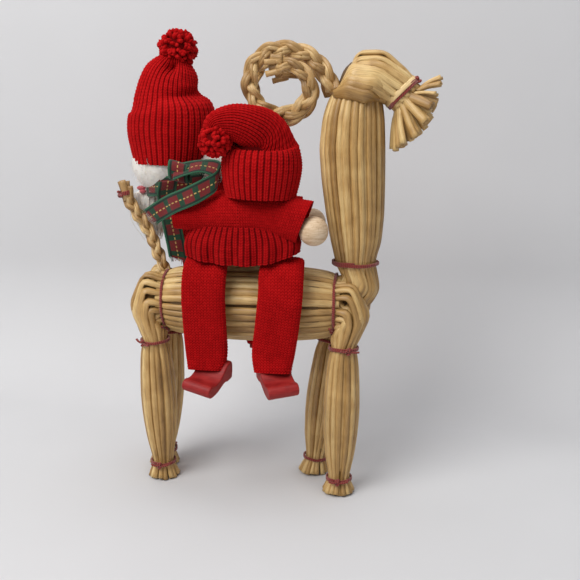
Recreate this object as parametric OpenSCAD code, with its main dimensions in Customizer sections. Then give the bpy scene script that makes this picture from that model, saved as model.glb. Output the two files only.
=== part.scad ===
/* [Body bundle] */
// Height of the body bundle's axis above the ground
body_axis_z = 100; // [90:1:110]
// Greatest radius of the body bundle, half way along
body_belly_r = 21; // [18:0.5:22]
// Radius of the straw under the two body ties
body_waist_r = 16; // [14:0.5:17]
// Middle of the rear body tie, along the goat
rear_tie_x = -56.5; // [-60:0.5:-54]
// Middle of the front body tie, along the goat
front_tie_x = 34.5; // [32:0.5:37]

/* [Legs] */
// Radius of the straw under a leg's upper tie
leg_top_r = 7.5; // [6:0.25:8]
// Greatest radius of a leg, a third of the way down
leg_belly_r = 9.75; // [8:0.25:10]
// Radius of the straw under an ankle tie
ankle_r = 6.5; // [5:0.25:7]
// Radius of the cut straw ends that a leg stands on
foot_r = 8; // [7:0.25:8]

/* [Neck and head] */
// Radius of the straw under the neck's lower tie
neck_base_r = 11.5; // [10:0.5:12]
// Greatest radius of the neck
neck_belly_r = 16.5; // [14:0.5:17]
// Radius of the straw under the tie at the roots of the horns
neck_top_r = 11; // [9:0.5:12]
// Radius of the ball of bent straw at the top of the head
crown_r = 14; // [12:0.5:15]
// Radius of the straw under the muzzle tie
muzzle_r = 8.9; // [7:0.1:10]

/* [Horns and tail] */
// Radius of a horn's ring, to the middle of the braid
horn_ring_r = 16; // [14:0.5:17]
// Radius of the horn's braid where it is fullest
horn_braid_r = 4.25; // [3:0.25:4.5]
// Radius of the tail's braid
tail_r = 3; // [2:0.25:3.5]

/* [Riders] */
// Radius of a rider's padded head under its hat
head_r = 15; // [12:0.5:16]
// Radius of a sleeve
sleeve_r = 9; // [8:0.5:9.5]
// Radius of the wooden bead that makes a hand
hand_r = 7.5; // [6:0.25:7.5]
// Width of a rider's knitted leg
leg_w = 21; // [18:0.5:22]
// Thickness of a rider's knitted leg
leg_t = 9; // [7:0.5:9]
// Radius of a clog at its heel and toe
clog_r = 8; // [6:0.5:8.5]

/* [Thread and ribbon] */
// How far a wound tie stands out from the straw
tie_t = 1.3; // [1:0.1:1.5]
// Width of a wound tie
tie_w = 4; // [3:0.25:4.5]
// Width of the woven scarf ribbon
ribbon_w = 10; // [10:0.5:11]
// Thickness of one layer of ribbon
ribbon_t = 1.6; // [1:0.1:1.6]

/* [Hidden] */
$fn = 48;
soft_fn = 32;

straw = "burlywood";
thread = "darkred";
knit = "firebrick";
knit_dark = "maroon";
clog_red = "brown";
wood = "wheat";
wool = "ivory";
green = "darkslategray";

// Each tie is wound this far either side of its middle.
tie_half = tie_w / 2;
rear_end_x = rear_tie_x - tie_half;
front_end_x = front_tie_x + tie_half;
// Under the body the leg bundles pass clear of the body ties.
under_body_z = body_axis_z - body_waist_r - tie_t - 0.3;

// Each leg: [upper tie, ankle tie, middle of its shoulder or hip, radius of that lobe].
front_near = [[40, -12, 80], [38.5, -12.5, 8], [front_end_x, -10, 101], 12.5];
front_far = [[31, 12, 78], [23, 11, 9], [front_end_x, 10, 101], 12.5];
rear_near = [[-61.5, -12, 80], [-60.5, -8, 9], [rear_end_x, -8.5, 105], 14];
rear_far = [[-61, 12, 79], [-65, 9.5, 9], [rear_end_x, 8.5, 105], 14];

// The neck's axis, from the body up to the roots of the horns.
chest = [45, 0, 104.5];
chest_r = 13.5;
neck_base = [44.5, 0, 123];
neck_top = [43.5, 0, 209];
crown = [51, 0, 214.5];
muzzle = [67, 0, 207.5];
muzzle_dir = [1, 0, -1];

// The near horn's ring; the far horn is its mirror image, set a little back and down.
horn_centre = [6.5, -7, 214];
far_horn_shift = [-1.5, 0, -2];

tail_points = [[-58, 0, 114], [-65, -3, 136], [-70.5, -5, 146], [-76, -6, 155], [-77.5, -6, 163]];

near_head_at = [-3, -15, 173];
far_head_at = [-56, 9, 171];
// A rider's arms: [shoulder, end of the sleeve, hand, room to swing as least x, most x, least y, most y].
near_arms = [
  [[4, -17, 147], [18, -20, 146], [25, -20, 141.5], [-4, 40, -40, -17]],
  [[-28, -17, 147], [-38, -20, 147], [-40, -9.5, 148], [-60, -24, -40, -17]]];
far_arms = [
  [[-11, 17, 147], [11, 20, 146], [19, 20.5, 141], [-4, 40, 17, 40]],
  [[-43, 17, 147], [-43, 31, 146], [-43, 38, 142], [-80, -43, 7.5, 40]]];
// A rider's legs: [hip, ankle, heel, toe].
near_legs = [
  [[8.5, -26.5, 118], [6, -26.5, 73], [0, -27, 69], [6, -40, 62.5]],
  [[-31, -26.5, 118], [-29, -26.5, 73], [-23, -27, 69], [-29, -40, 62.5]]];
far_legs = [
  [[-9, 26.5, 118], [-10, 26.5, 73], [-10, 27, 69], [-9, 40, 62.5]],
  [[-44, 26.5, 118], [-44, 26.5, 73], [-44, 27, 69], [-45, 40, 62.5]]];

// Turns the z axis onto the direction d and moves the origin to p.
module along(p, d) {
  translate(p)
    rotate([0, acos(d[2] / norm(d)), atan2(d[1], d[0])])
      children();
}

// A round bar from p to q whose radius runs from r1 to r2.
module rod(p, q, r1, r2) {
  along(p, q - p) cylinder(h = norm(q - p), r1 = r1, r2 = r2);
}

module ball(p, r) {
  translate(p) sphere(r = r);
}

// A round bar of radius r from p to q with round ends beyond both.
module capsule(p, q, r) {
  l = norm(q - p);
  along(p, q - p)
    rotate_extrude()
      intersection() {
        union() {
          circle(r = r);
          translate([0, l]) circle(r = r);
          translate([-r, 0]) square([2 * r, l]);
        }
        translate([0, -r]) square([r, l + 2 * r]);
      }
}

// Straw gathered between ties: profile is a list of [radius, distance] from p towards q.
module bundle(p, q, profile) {
  last = profile[len(profile) - 1][1];
  along(p, q - p)
    rotate_extrude()
      polygon(concat([[0, profile[0][1]]], profile, [[0, last]]));
}

// Thread wound round straw of radius r at the point p, across the direction d.
module wound_tie(p, d, r, w = tie_w) {
  along(p, d)
    rotate_extrude()
      polygon([[r, -w / 2], [r + tie_t * 0.7, -w / 2], [r + tie_t, -w / 4],
               [r + tie_t, w / 4], [r + tie_t * 0.7, w / 2], [r, w / 2]]);
}

// --- Body -----------------------------------------------------------------

function body_profile() =
  let (l = front_end_x - rear_end_x, k = (body_belly_r - body_waist_r))
  concat([[body_waist_r, 0], [body_waist_r, tie_w]],
         [for (t = [0.03, 0.1, 0.2, 0.35, 0.5, 0.65, 0.8, 0.9, 0.97])
            [body_waist_r + k * pow(sin(180 * t), 0.5), tie_w + t * (l - 2 * tie_w)]],
         [[body_waist_r, l - tie_w], [body_waist_r, l]]);

module barrel_shape() {
  bundle([rear_end_x, 0, body_axis_z], [front_end_x, 0, body_axis_z], body_profile());
}

module body_barrel() {
  color(straw) barrel_shape();
}

module body_tie_rear() {
  color(thread) wound_tie([rear_tie_x, 0, body_axis_z], [1, 0, 0], body_waist_r);
}

module body_tie_front() {
  color(thread) wound_tie([front_tie_x, 0, body_axis_z], [1, 0, 0], body_waist_r);
}

// --- Legs -----------------------------------------------------------------

// The lobe of straw that bends down from the end of the body into a leg.
module lobe(leg, side) {
  end_x = leg[2][0];
  outward = end_x > 0 ? 1 : -1;
  big = 60;
  difference() {
    union() {
      ball(leg[2], leg[3]);
      rod(leg[2] + [outward * 2, 0, -2], leg[0], leg[3] - 1, leg_top_r - 1.5);
    }
    // The lobe starts at the end of the body and stays on its own side of it.
    translate([outward > 0 ? end_x - big : end_x, -big / 2, under_body_z]) cube(big);
    translate([end_x - big / 2, side > 0 ? -big : 0, under_body_z - 10]) cube(big);
    if (outward > 0) chest_shape();
  }
}

function leg_profile(l) = [
  [leg_top_r, -1], [leg_top_r, tie_w], [leg_belly_r - 0.5, l * 0.25], [leg_belly_r, l * 0.42],
  [leg_belly_r - 0.5, l * 0.6], [leg_belly_r - 2, l * 0.8],
  [ankle_r, l - tie_half], [ankle_r, l + tie_half], [foot_r, l + 9], [foot_r, l + 12]];

module shank(leg) {
  axis = leg[1] - leg[0];
  unit = axis / norm(axis);
  start = leg[0] - unit * tie_half;
  difference() {
    bundle(start, leg[1], leg_profile(norm(axis) + tie_half));
    // The straw ends are cut flat on the ground.
    translate([leg[1][0] - 20, leg[1][1] - 20, -20]) cube([40, 40, 20]);
  }
}

module leg(leg, side) {
  color(straw) {
    lobe(leg, side);
    shank(leg);
  }
}

module upper_tie(leg) {
  color(thread) wound_tie(leg[0], leg[1] - leg[0], leg_top_r);
}

module ankle_tie(leg) {
  color(thread) wound_tie(leg[1], leg[1] - leg[0], ankle_r);
}

// --- Neck and head --------------------------------------------------------

// The middle share of the body's straw, which turns up into the neck.
module chest_shape() {
  ball(chest, chest_r);
  rod(chest, neck_base, chest_r - 1, neck_base_r - 1.5);
}

function neck_profile(l) =
  let (rise = neck_belly_r - neck_base_r, fall = neck_belly_r - neck_top_r)
  concat([[neck_base_r, -tie_half], [neck_base_r, tie_half]],
         [for (t = [0.1 : 0.1 : 1]) [neck_base_r + rise * sin(90 * t), tie_half + t * l * 0.6]],
         [for (t = [0.1 : 0.1 : 1]) [neck_top_r + fall * cos(90 * t * t), tie_half + l * (0.6 + 0.34 * t)]],
         [[neck_top_r, l + tie_half]]);

module neck_bundle() {
  color(straw) {
    difference() {
      chest_shape();
      translate([front_end_x - 40, -20, 60]) cube([40, 40, 80]);
    }
    bundle(neck_base, neck_top, neck_profile(norm(neck_top - neck_base)));
  }
}

module neck_base_tie() {
  color(thread) wound_tie(neck_base, neck_top - neck_base, neck_base_r);
}

module neck_top_tie() {
  color(thread) wound_tie(neck_top, neck_top - neck_base, neck_top_r);
}

// Straw that bends over at the crown and runs down to the muzzle.
module head_bundle() {
  unit = muzzle_dir / norm(muzzle_dir);
  color(straw)
    difference() {
      union() {
        ball(crown, crown_r);
        rod(crown, muzzle - unit * 3, crown_r - 1, muzzle_r);
        rod(muzzle - unit * 3, muzzle + unit * 4, muzzle_r, muzzle_r);
      }
      along(neck_top, neck_top - neck_base) translate([0, 0, tie_half - 30]) cylinder(h = 30, r = 13);
    }
}

module muzzle_tie() {
  color(thread) wound_tie(muzzle - muzzle_dir * 0.9, muzzle_dir, muzzle_r, 2.4);
}

module muzzle_band() {
  color("khaki") wound_tie(muzzle + muzzle_dir * 1.2, muzzle_dir, muzzle_r, 3);
}

// The loose straw ends beyond the muzzle, spread into a beard.
module beard_fan() {
  unit = muzzle_dir / norm(muzzle_dir);
  fan_r = 3.5;
  color(straw)
    hull() {
      along(muzzle + unit * 4, muzzle_dir) cylinder(h = 1, r = muzzle_r, $fn = soft_fn);
      for (y = [-7, 7], p = [[76, 211], [79, 200], [74, 187.5], [64.5, 187]])
        translate([p[0], y, p[1]]) sphere(r = fan_r, $fn = 16);
    }
}

// --- Horns and tail -------------------------------------------------------

function smooth(t) = let (c = min(1, max(0, t))) c * c * (3 - 2 * c);

// The horn leaves the neck in a wide curve, closes into a ring and ends in a tighter inner curl,
// which stands beside the ring so that the braid never meets itself.
horn_start = -10;
horn_end = 500;
function horn_radius(a) =
  horn_ring_r + 10 * pow(max(0, 1 - (a - horn_start) / 90), 1.5) - 8 * smooth((a - 330) / 170);
function horn_side(a) = 2.4 * (1 - smooth((a - horn_start) / 70)) - 6.5 * smooth((a - 300) / 100);
function horn_point(a) =
  horn_centre + [horn_radius(a) * cos(a), horn_side(a), horn_radius(a) * sin(a)];
function horn_thick(a) = horn_braid_r - 0.9 * smooth((a - 300) / 200);

function unit(v) = v / norm(v);
function horn_ring(a, sides) =
  let (t = unit(horn_point(a + 1) - horn_point(a - 1)),
       b = unit(cross(t, [0, 1, 0])),
       n = cross(b, t))
  [for (i = [0 : sides - 1])
     horn_point(a) + horn_thick(a) * (cos(360 * i / sides) * b + sin(360 * i / sides) * n)];

module horn() {
  sides = 10;
  steps = 68;
  rings = [for (k = [0 : steps]) horn_ring(horn_start + (horn_end - horn_start) * k / steps, sides)];
  points = [for (ring = rings) each ring];
  walls = [for (k = [0 : steps - 1], i = [0 : sides - 1])
    [k * sides + i, (k + 1) * sides + i, (k + 1) * sides + (i + 1) % sides, k * sides + (i + 1) % sides]];
  first = [for (i = [0 : sides - 1]) i];
  last = [for (i = [sides - 1 : -1 : 0]) steps * sides + i];
  polyhedron(points = points, faces = concat(walls, [first, last]), convexity = 6);
}

module horn_near() {
  color(straw) horn();
}

module horn_far() {
  color(straw) translate(far_horn_shift) mirror([0, 1, 0]) horn();
}

module tail_braid() {
  color(straw)
    for (i = [0 : len(tail_points) - 2]) {
      rod(tail_points[i], tail_points[i + 1], tail_r, tail_r);
      ball(tail_points[i + 1], tail_r);
    }
}

module tail_tie() {
  p = tail_points[3];
  q = tail_points[4];
  color(thread) wound_tie(p + 0.35 * (q - p), q - p, tail_r, 3);
}

// --- Riders ---------------------------------------------------------------

// A knitted jumper: a wide hem on the goat's back, narrowing to the neck.
module jumper(x, half_w, neck, side, arms) {
  hem_top = 136;
  difference() {
    union() {
      hull()
        for (dx = [-1, 1], y = [7, 22], z = [128.5, hem_top - 5])
          translate([x + dx * (half_w - 5), side * y, z]) sphere(r = 5, $fn = soft_fn);
      hull() {
        for (dx = [-1, 1], y = [8, 19])
          translate([x + dx * 13, side * y, 129.5]) sphere(r = 6.5, $fn = soft_fn);
        for (dx = [-1, 1])
          translate([neck[0] + dx * 4, neck[1], 152]) sphere(r = 7, $fn = soft_fn);
      }
    }
    along([rear_end_x, 0, body_axis_z], [1, 0, 0]) cylinder(h = 100, r = body_belly_r + 0.3);
    for (arm = arms) {
      capsule(arm[0], arm[1], sleeve_r + 0.5);
      translate([arm[3][0], arm[3][2], 137.2]) cube([arm[3][1] - arm[3][0], arm[3][3] - arm[3][2], 19.6]);
    }
    ball(side < 0 ? near_head_at : far_head_at, side < 0 ? head_r : hair_r);
  }
}

hair_r = 17.5;

module near_torso() {
  color(knit_dark) jumper(-12, 28, [-8, -14, 0], -1, near_arms);
}

module far_torso() {
  color(knit_dark) jumper(-27, 24.5, [-44, 12, 0], 1, far_arms);
}

// A sleeve from the shoulder, hollowed at its end where the hand's bead sits.
module sleeve(arm) {
  color(knit_dark)
    difference() {
      capsule(arm[0], arm[1], sleeve_r);
      ball(arm[2], hand_r);
    }
}

module hand(arm) {
  color(wood) ball(arm[2], hand_r);
}

// A flat knitted tube, round where it hinges at the hip.
module rider_leg(leg) {
  color(knit)
    hull()
      for (p = [leg[0], leg[1]])
        translate(p) rotate([0, 90, 0]) cylinder(h = leg_w, r = leg_t / 2, center = true, $fn = soft_fn);
}

module clog(leg) {
  color(clog_red) {
    capsule(leg[2], leg[3], clog_r);
  }
}

module near_head() {
  color(wool) ball(near_head_at, head_r);
}

// The near hat is pulled down to the jumper, and its peak has flopped towards the tail.
near_hat_base = [-2.5, -15, 160.5];
near_hat_profile = [[17.5, 0], [19, 3], [19.5, 10], [19, 17], [16, 24], [10, 30], [4, 32.5]];
near_hat_fold = [[-3, -17, 185], [-21, -18, 190.5]];

module near_hat_shape() {
  bundle(near_hat_base, near_hat_base + [0, 0, 1], near_hat_profile);
  rod(near_hat_fold[0], near_hat_fold[1], 9.5, 7);
  ball(near_hat_fold[1], 7);
}

module near_hat() {
  color(knit_dark)
    difference() {
      near_hat_shape();
      ball(near_head_at, head_r);
    }
}

module near_pompom() {
  color(knit_dark) ball([-22.5, -27, 184.5], 8.5);
}

module far_head() {
  color(wool) ball(far_head_at, head_r);
}

far_hat_base = [-56.5, 9, 174.5];
far_hat_peak = [-50.5, 9, 225];
far_hat_profile = [[20, 0], [22, 5], [23, 14], [22, 22], [18, 32], [13.5, 41], [9, 48], [5, 51]];

module far_hat_shape() {
  bundle(far_hat_base, far_hat_peak, far_hat_profile);
}

module far_hat() {
  color(knit)
    difference() {
      far_hat_shape();
      ball(far_head_at, head_r);
    }
}

module far_pompom() {
  color(knit) ball([-50.5, 9, 232.5], 10.5);
}

// Wool that stands out under the far hat all round the head.
module far_hair() {
  color(wool)
    difference() {
      ball(far_head_at, hair_r);
      ball(far_head_at, head_r);
      far_hat_shape();
    }
}

module far_mouth() {
  color("lightpink") ball([-73, 5, 159.5], 3);
}

module far_beard() {
  color(wool)
    hull() {
      translate([-70, 9, 152]) sphere(r = 7, $fn = soft_fn);
      translate([-66, 9, 141]) sphere(r = 6.5, $fn = soft_fn);
    }
}

// --- Scarf ----------------------------------------------------------------

module scarf_collar() {
  color(green)
    difference() {
      translate([-49, 9, 156.5]) rotate_extrude() translate([15, 0]) square([3, 10]);
      ball(far_head_at, hair_r);
      far_beard();
    }
}

module scarf_knot() {
  color(green)
    hull()
      for (dx = [-3.5, 3.5], dz = [-3, 3])
        translate([-49 + dx, -13.5, 168.5 + dz]) sphere(r = 3, $fn = 16);
}

// A loop of ribbon lies open towards the goat's head.
module scarf_loop() {
  loop_t = 5;
  color(green)
    hull()
      for (x = [-39.5, -26])
        translate([x, -15, 168 - ribbon_w / 2]) cylinder(h = ribbon_w, r = loop_t / 2, $fn = soft_fn);
}

// A flat length of ribbon from p to q, its width in the upright plane.
module ribbon(p, q) {
  d = q - p;
  translate(p)
    rotate([0, -atan2(d[2], d[0]), 0])
      translate([0, -ribbon_t / 2, -ribbon_w / 2])
        cube([norm(d), ribbon_t, ribbon_w]);
}

module scarf_tail_front() {
  color(green) ribbon([-51.5, -15.5, 163.5], [-59.5, -15.5, 150.5]);
}

module scarf_tail_back() {
  color(green) ribbon([-53, 0, 157], [-49.5, 0, 122]);
}

// --- Assembly -------------------------------------------------------------

body_barrel();
body_tie_rear();
body_tie_front();
leg(front_near, -1);  // leg_front_near
leg(front_far, 1);  // leg_front_far
leg(rear_near, -1);  // leg_rear_near
leg(rear_far, 1);  // leg_rear_far
upper_tie(front_near);  // upper_tie_front_near
upper_tie(front_far);  // upper_tie_front_far
upper_tie(rear_near);  // upper_tie_rear_near
upper_tie(rear_far);  // upper_tie_rear_far
ankle_tie(front_near);  // ankle_tie_front_near
ankle_tie(front_far);  // ankle_tie_front_far
ankle_tie(rear_near);  // ankle_tie_rear_near
ankle_tie(rear_far);  // ankle_tie_rear_far
neck_bundle();
neck_base_tie();
neck_top_tie();
head_bundle();
muzzle_tie();
muzzle_band();
beard_fan();
horn_near();
horn_far();
tail_braid();
tail_tie();
near_torso();
near_head();
near_hat();
near_pompom();
sleeve(near_arms[0]);  // near_arm_front
sleeve(near_arms[1]);  // near_arm_rear
hand(near_arms[0]);  // near_hand_front
hand(near_arms[1]);  // near_hand_rear
rider_leg(near_legs[0]);  // near_leg_front
rider_leg(near_legs[1]);  // near_leg_rear
clog(near_legs[0]);  // near_clog_front
clog(near_legs[1]);  // near_clog_rear
far_torso();
far_head();
far_hair();
far_mouth();
far_beard();
far_hat();
far_pompom();
sleeve(far_arms[0]);  // far_arm_front
sleeve(far_arms[1]);  // far_arm_rear
hand(far_arms[0]);  // far_hand_front
hand(far_arms[1]);  // far_hand_rear
rider_leg(far_legs[0]);  // far_leg_front
rider_leg(far_legs[1]);  // far_leg_rear
clog(far_legs[0]);  // far_clog_front
clog(far_legs[1]);  // far_clog_rear
scarf_collar();
scarf_knot();
scarf_loop();
scarf_tail_front();
scarf_tail_back();
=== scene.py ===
"""A straw yule goat with two knitted riders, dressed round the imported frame.

Lengths below are in millimetres unless a name ends in _m. A shape is worked out as whole numpy
arrays and turned into metres only when its mesh is made.
"""

import math

import bpy
import numpy as np
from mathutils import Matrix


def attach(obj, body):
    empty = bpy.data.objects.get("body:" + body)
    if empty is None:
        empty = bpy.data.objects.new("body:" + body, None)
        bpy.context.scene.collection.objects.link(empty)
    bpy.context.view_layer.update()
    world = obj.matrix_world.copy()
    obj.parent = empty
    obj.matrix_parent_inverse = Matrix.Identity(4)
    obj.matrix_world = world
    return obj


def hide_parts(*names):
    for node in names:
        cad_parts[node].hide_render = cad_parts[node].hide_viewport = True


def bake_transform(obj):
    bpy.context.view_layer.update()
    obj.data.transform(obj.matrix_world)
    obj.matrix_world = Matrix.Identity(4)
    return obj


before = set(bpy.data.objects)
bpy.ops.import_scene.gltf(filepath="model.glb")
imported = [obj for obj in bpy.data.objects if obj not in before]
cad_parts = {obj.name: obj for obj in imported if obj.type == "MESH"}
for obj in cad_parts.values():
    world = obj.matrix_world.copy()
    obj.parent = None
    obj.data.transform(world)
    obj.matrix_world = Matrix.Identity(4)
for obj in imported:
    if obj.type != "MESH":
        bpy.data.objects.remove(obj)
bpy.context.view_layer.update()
MM = 0.001
TAU = 2 * math.pi

# --- Facts of the object, as part.scad has them ---------------------------------------------

BODY_Z = 100.0
BODY_R = 21.0
WAIST_R = 16.0
REAR_TIE_X = -56.5
FRONT_TIE_X = 34.5
LEG_TOP_R = 7.5
LEG_BELLY_R = 9.75
ANKLE_R = 6.5
FOOT_R = 8.0
NECK_BASE = np.array([44.5, 0, 123.0])
NECK_TOP = np.array([43.5, 0, 209.0])
NECK_BASE_R = 11.5
NECK_TOP_R = 11.0
MUZZLE = np.array([67.0, 0, 207.5])
MUZZLE_R = 8.9
MUZZLE_DIR = np.array([1.0, 0, -1.0]) / math.sqrt(2)
HORN_CENTRE = np.array([6.5, -7.0, 214.0])
HORN_RING_R = 16.0
FAR_HORN_SHIFT = np.array([-1.5, 0, -2.0])
TAIL_POINTS = np.array([[-58, 0, 114], [-65, -3, 136], [-70.5, -5, 146], [-76, -6, 155], [-77.5, -6, 163.0]])

# Each goat leg: upper tie, ankle tie, +1 at the front or -1 at the rear, -1 near or +1 far.
GOAT_LEGS = {
    "front_near": ([40, -12, 80], [38.5, -12.5, 8], 1, -1),
    "front_far": ([31, 12, 78], [23, 11, 9], 1, 1),
    "rear_near": ([-61.5, -12, 80], [-60.5, -8, 9], -1, -1),
    "rear_far": ([-61, 12, 79], [-65, 9.5, 9], -1, 1),
}

# --- Meshes from arrays ----------------------------------------------------------------------


def unit(v):
    """v with every row scaled to length 1."""
    return v / np.maximum(np.linalg.norm(v, axis=-1, keepdims=True), 1e-9)


def build(name, verts, faces, material, uv=None, tone=None):
    """A mesh object. verts is (n, 3) in mm, faces a list of (m, k) arrays of corner numbers,
    uv one (m * k, 2) array for each of them, and tone a number 0 to 1 for each vertex."""
    mesh = bpy.data.meshes.new(name)
    corners = np.concatenate([f.ravel() for f in faces])
    totals = np.concatenate([np.full(len(f), f.shape[1]) for f in faces])
    mesh.vertices.add(len(verts))
    mesh.vertices.foreach_set("co", (verts * MM).astype(np.float32).ravel())
    mesh.loops.add(len(corners))
    mesh.loops.foreach_set("vertex_index", corners.astype(np.int32))
    mesh.polygons.add(len(totals))
    mesh.polygons.foreach_set("loop_start", (np.cumsum(totals) - totals).astype(np.int32))
    mesh.polygons.foreach_set("use_smooth", totals <= 4)
    if uv is not None:
        layer = mesh.uv_layers.new(name="UVMap")
        layer.data.foreach_set("uv", np.concatenate(uv).astype(np.float32).ravel())
    if tone is not None:
        mesh.attributes.new("tone", "FLOAT", "POINT").data.foreach_set("value", tone.astype(np.float32))
    mesh.update(calc_edges=True)
    mesh.validate()
    mesh.materials.append(material)
    piece = bpy.data.objects.new(name, mesh)
    bpy.context.scene.collection.objects.link(piece)
    return piece


def path_frames(paths, up):
    """Tangent, depth axis and width axis along paths (m, n, 3): depth is the part of up that
    stands square to the tangent, and width is square to both."""
    tangent = unit(np.gradient(paths, axis=1))
    up = np.broadcast_to(up, paths.shape)
    depth = unit(up - np.sum(up * tangent, -1, keepdims=True) * tangent)
    return tangent, depth, np.cross(depth, tangent)


def grid_faces(m, n, k):
    """Quads of m closed tubes of n rings by k corners, and one k-gon at each end of each tube."""
    tube = np.arange(m)[:, None, None] * n * k
    ring = np.arange(n - 1)[None, :, None] * k
    a = np.arange(k)[None, None, :]
    b = (a + 1) % k
    quads = np.stack([tube + ring + a, tube + ring + b, tube + ring + k + b, tube + ring + k + a], -1)
    first = (tube + a)[:, 0, ::-1]
    last = (tube + (n - 1) * k + a)[:, 0, :]
    return quads.reshape(-1, 4), np.concatenate([first, last])


def tubes(paths, width, depth, up, sides=8, hollow=0.0, power=1.0):
    """Many closed tubes at once. A ring of half axes width and depth stands square to its path;
    power under 1 makes it squarer. hollow is how far the open ends are bored, in mm, as in a cut
    straw. Returns verts, faces, uv (turns round, mm along) and each vertex's tube number."""
    tangent, deep, wide = path_frames(paths, up)
    m, n = paths.shape[:2]
    width = np.broadcast_to(width, (m, n))
    depth = np.broadcast_to(depth, (m, n))
    along = np.cumsum(np.linalg.norm(np.diff(paths, axis=1, prepend=paths[:, :1]), axis=-1), axis=1)
    if hollow:
        ends = [0, 0] + list(range(n)) + [n - 1, n - 1]
        paths = paths[:, ends].copy()
        paths[:, 0] += tangent[:, 0] * hollow
        paths[:, -1] -= tangent[:, -1] * hollow
        bore = np.ones(n + 4)
        bore[[0, 1, -2, -1]] = 0.72
        width, depth = width[:, ends] * bore, depth[:, ends] * bore
        deep, wide, along = deep[:, ends], wide[:, ends], along[:, ends]
        n += 4
    angle = TAU * np.arange(sides) / sides
    cos = np.sign(np.cos(angle)) * np.abs(np.cos(angle)) ** power
    sin = np.sign(np.sin(angle)) * np.abs(np.sin(angle)) ** power
    verts = (paths[:, :, None] + wide[:, :, None] * (width[:, :, None, None] * cos[:, None])
             + deep[:, :, None] * (depth[:, :, None, None] * sin[:, None]))
    quads, caps = grid_faces(m, n, sides)
    turn = np.arange(sides) / sides
    u = np.stack([turn, turn + 1 / sides, turn + 1 / sides, turn], -1)
    u = np.broadcast_to(u, (m, n - 1, sides, 4))
    v = np.stack([along[:, :-1], along[:, :-1], along[:, 1:], along[:, 1:]], -1)[:, :, None, :]
    v = np.broadcast_to(v, (m, n - 1, sides, 4))
    uv_quads = np.stack([u, v], -1).reshape(-1, 2)
    uv_caps = np.zeros((2 * m * sides, 2))
    owner = np.repeat(np.arange(m), n * sides)
    return verts.reshape(-1, 3), [quads, caps], [uv_quads, uv_caps], owner


def join(parts):
    """One set of verts, faces, uv and tone from several. Faces of each corner count stay together."""
    verts, faces, uvs, tones, base = [], [], [], [], 0
    for v, f, uv, tone in parts:
        verts.append(v)
        faces += [part + base for part in f]
        uvs += uv
        tones.append(np.broadcast_to(tone, len(v)))
        base += len(v)
    return np.concatenate(verts), faces, uvs, np.concatenate(tones)


def made(name, parts, material):
    """A mesh object from a list of (verts, faces, uv, tone)."""
    verts, faces, uvs, tone = join(parts)
    return build(name, verts, faces, material, uvs, tone)


def resample(points, count):
    """Paths (m, p, 3) of straight runs turned into count points each, evenly spaced along them."""
    step = np.linalg.norm(np.diff(points, axis=1), axis=-1)
    reach = np.concatenate([np.zeros((len(points), 1)), np.cumsum(step, axis=1)], axis=1)
    out = np.empty((len(points), count, 3))
    for i, (r, p) in enumerate(zip(reach, points)):
        s = np.linspace(0, r[-1], count)
        for axis in range(3):
            out[i, :, axis] = np.interp(s, r, p[:, axis])
    return out


def relax(paths, passes=1):
    """Rounds the corners of paths: each inner point moves half way to the middle of its two
    neighbours, as many times as passes says."""
    for _ in range(passes):
        paths = paths.copy()
        paths[:, 1:-1] = paths[:, 1:-1] / 2 + (paths[:, :-2] + paths[:, 2:]) / 4
    return paths


def smoothstep(t):
    """0 below 0, 1 above 1, and a smooth S between."""
    t = np.clip(t, 0, 1)
    return t * t * (3 - 2 * t)


# --- Materials -------------------------------------------------------------------------------


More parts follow.
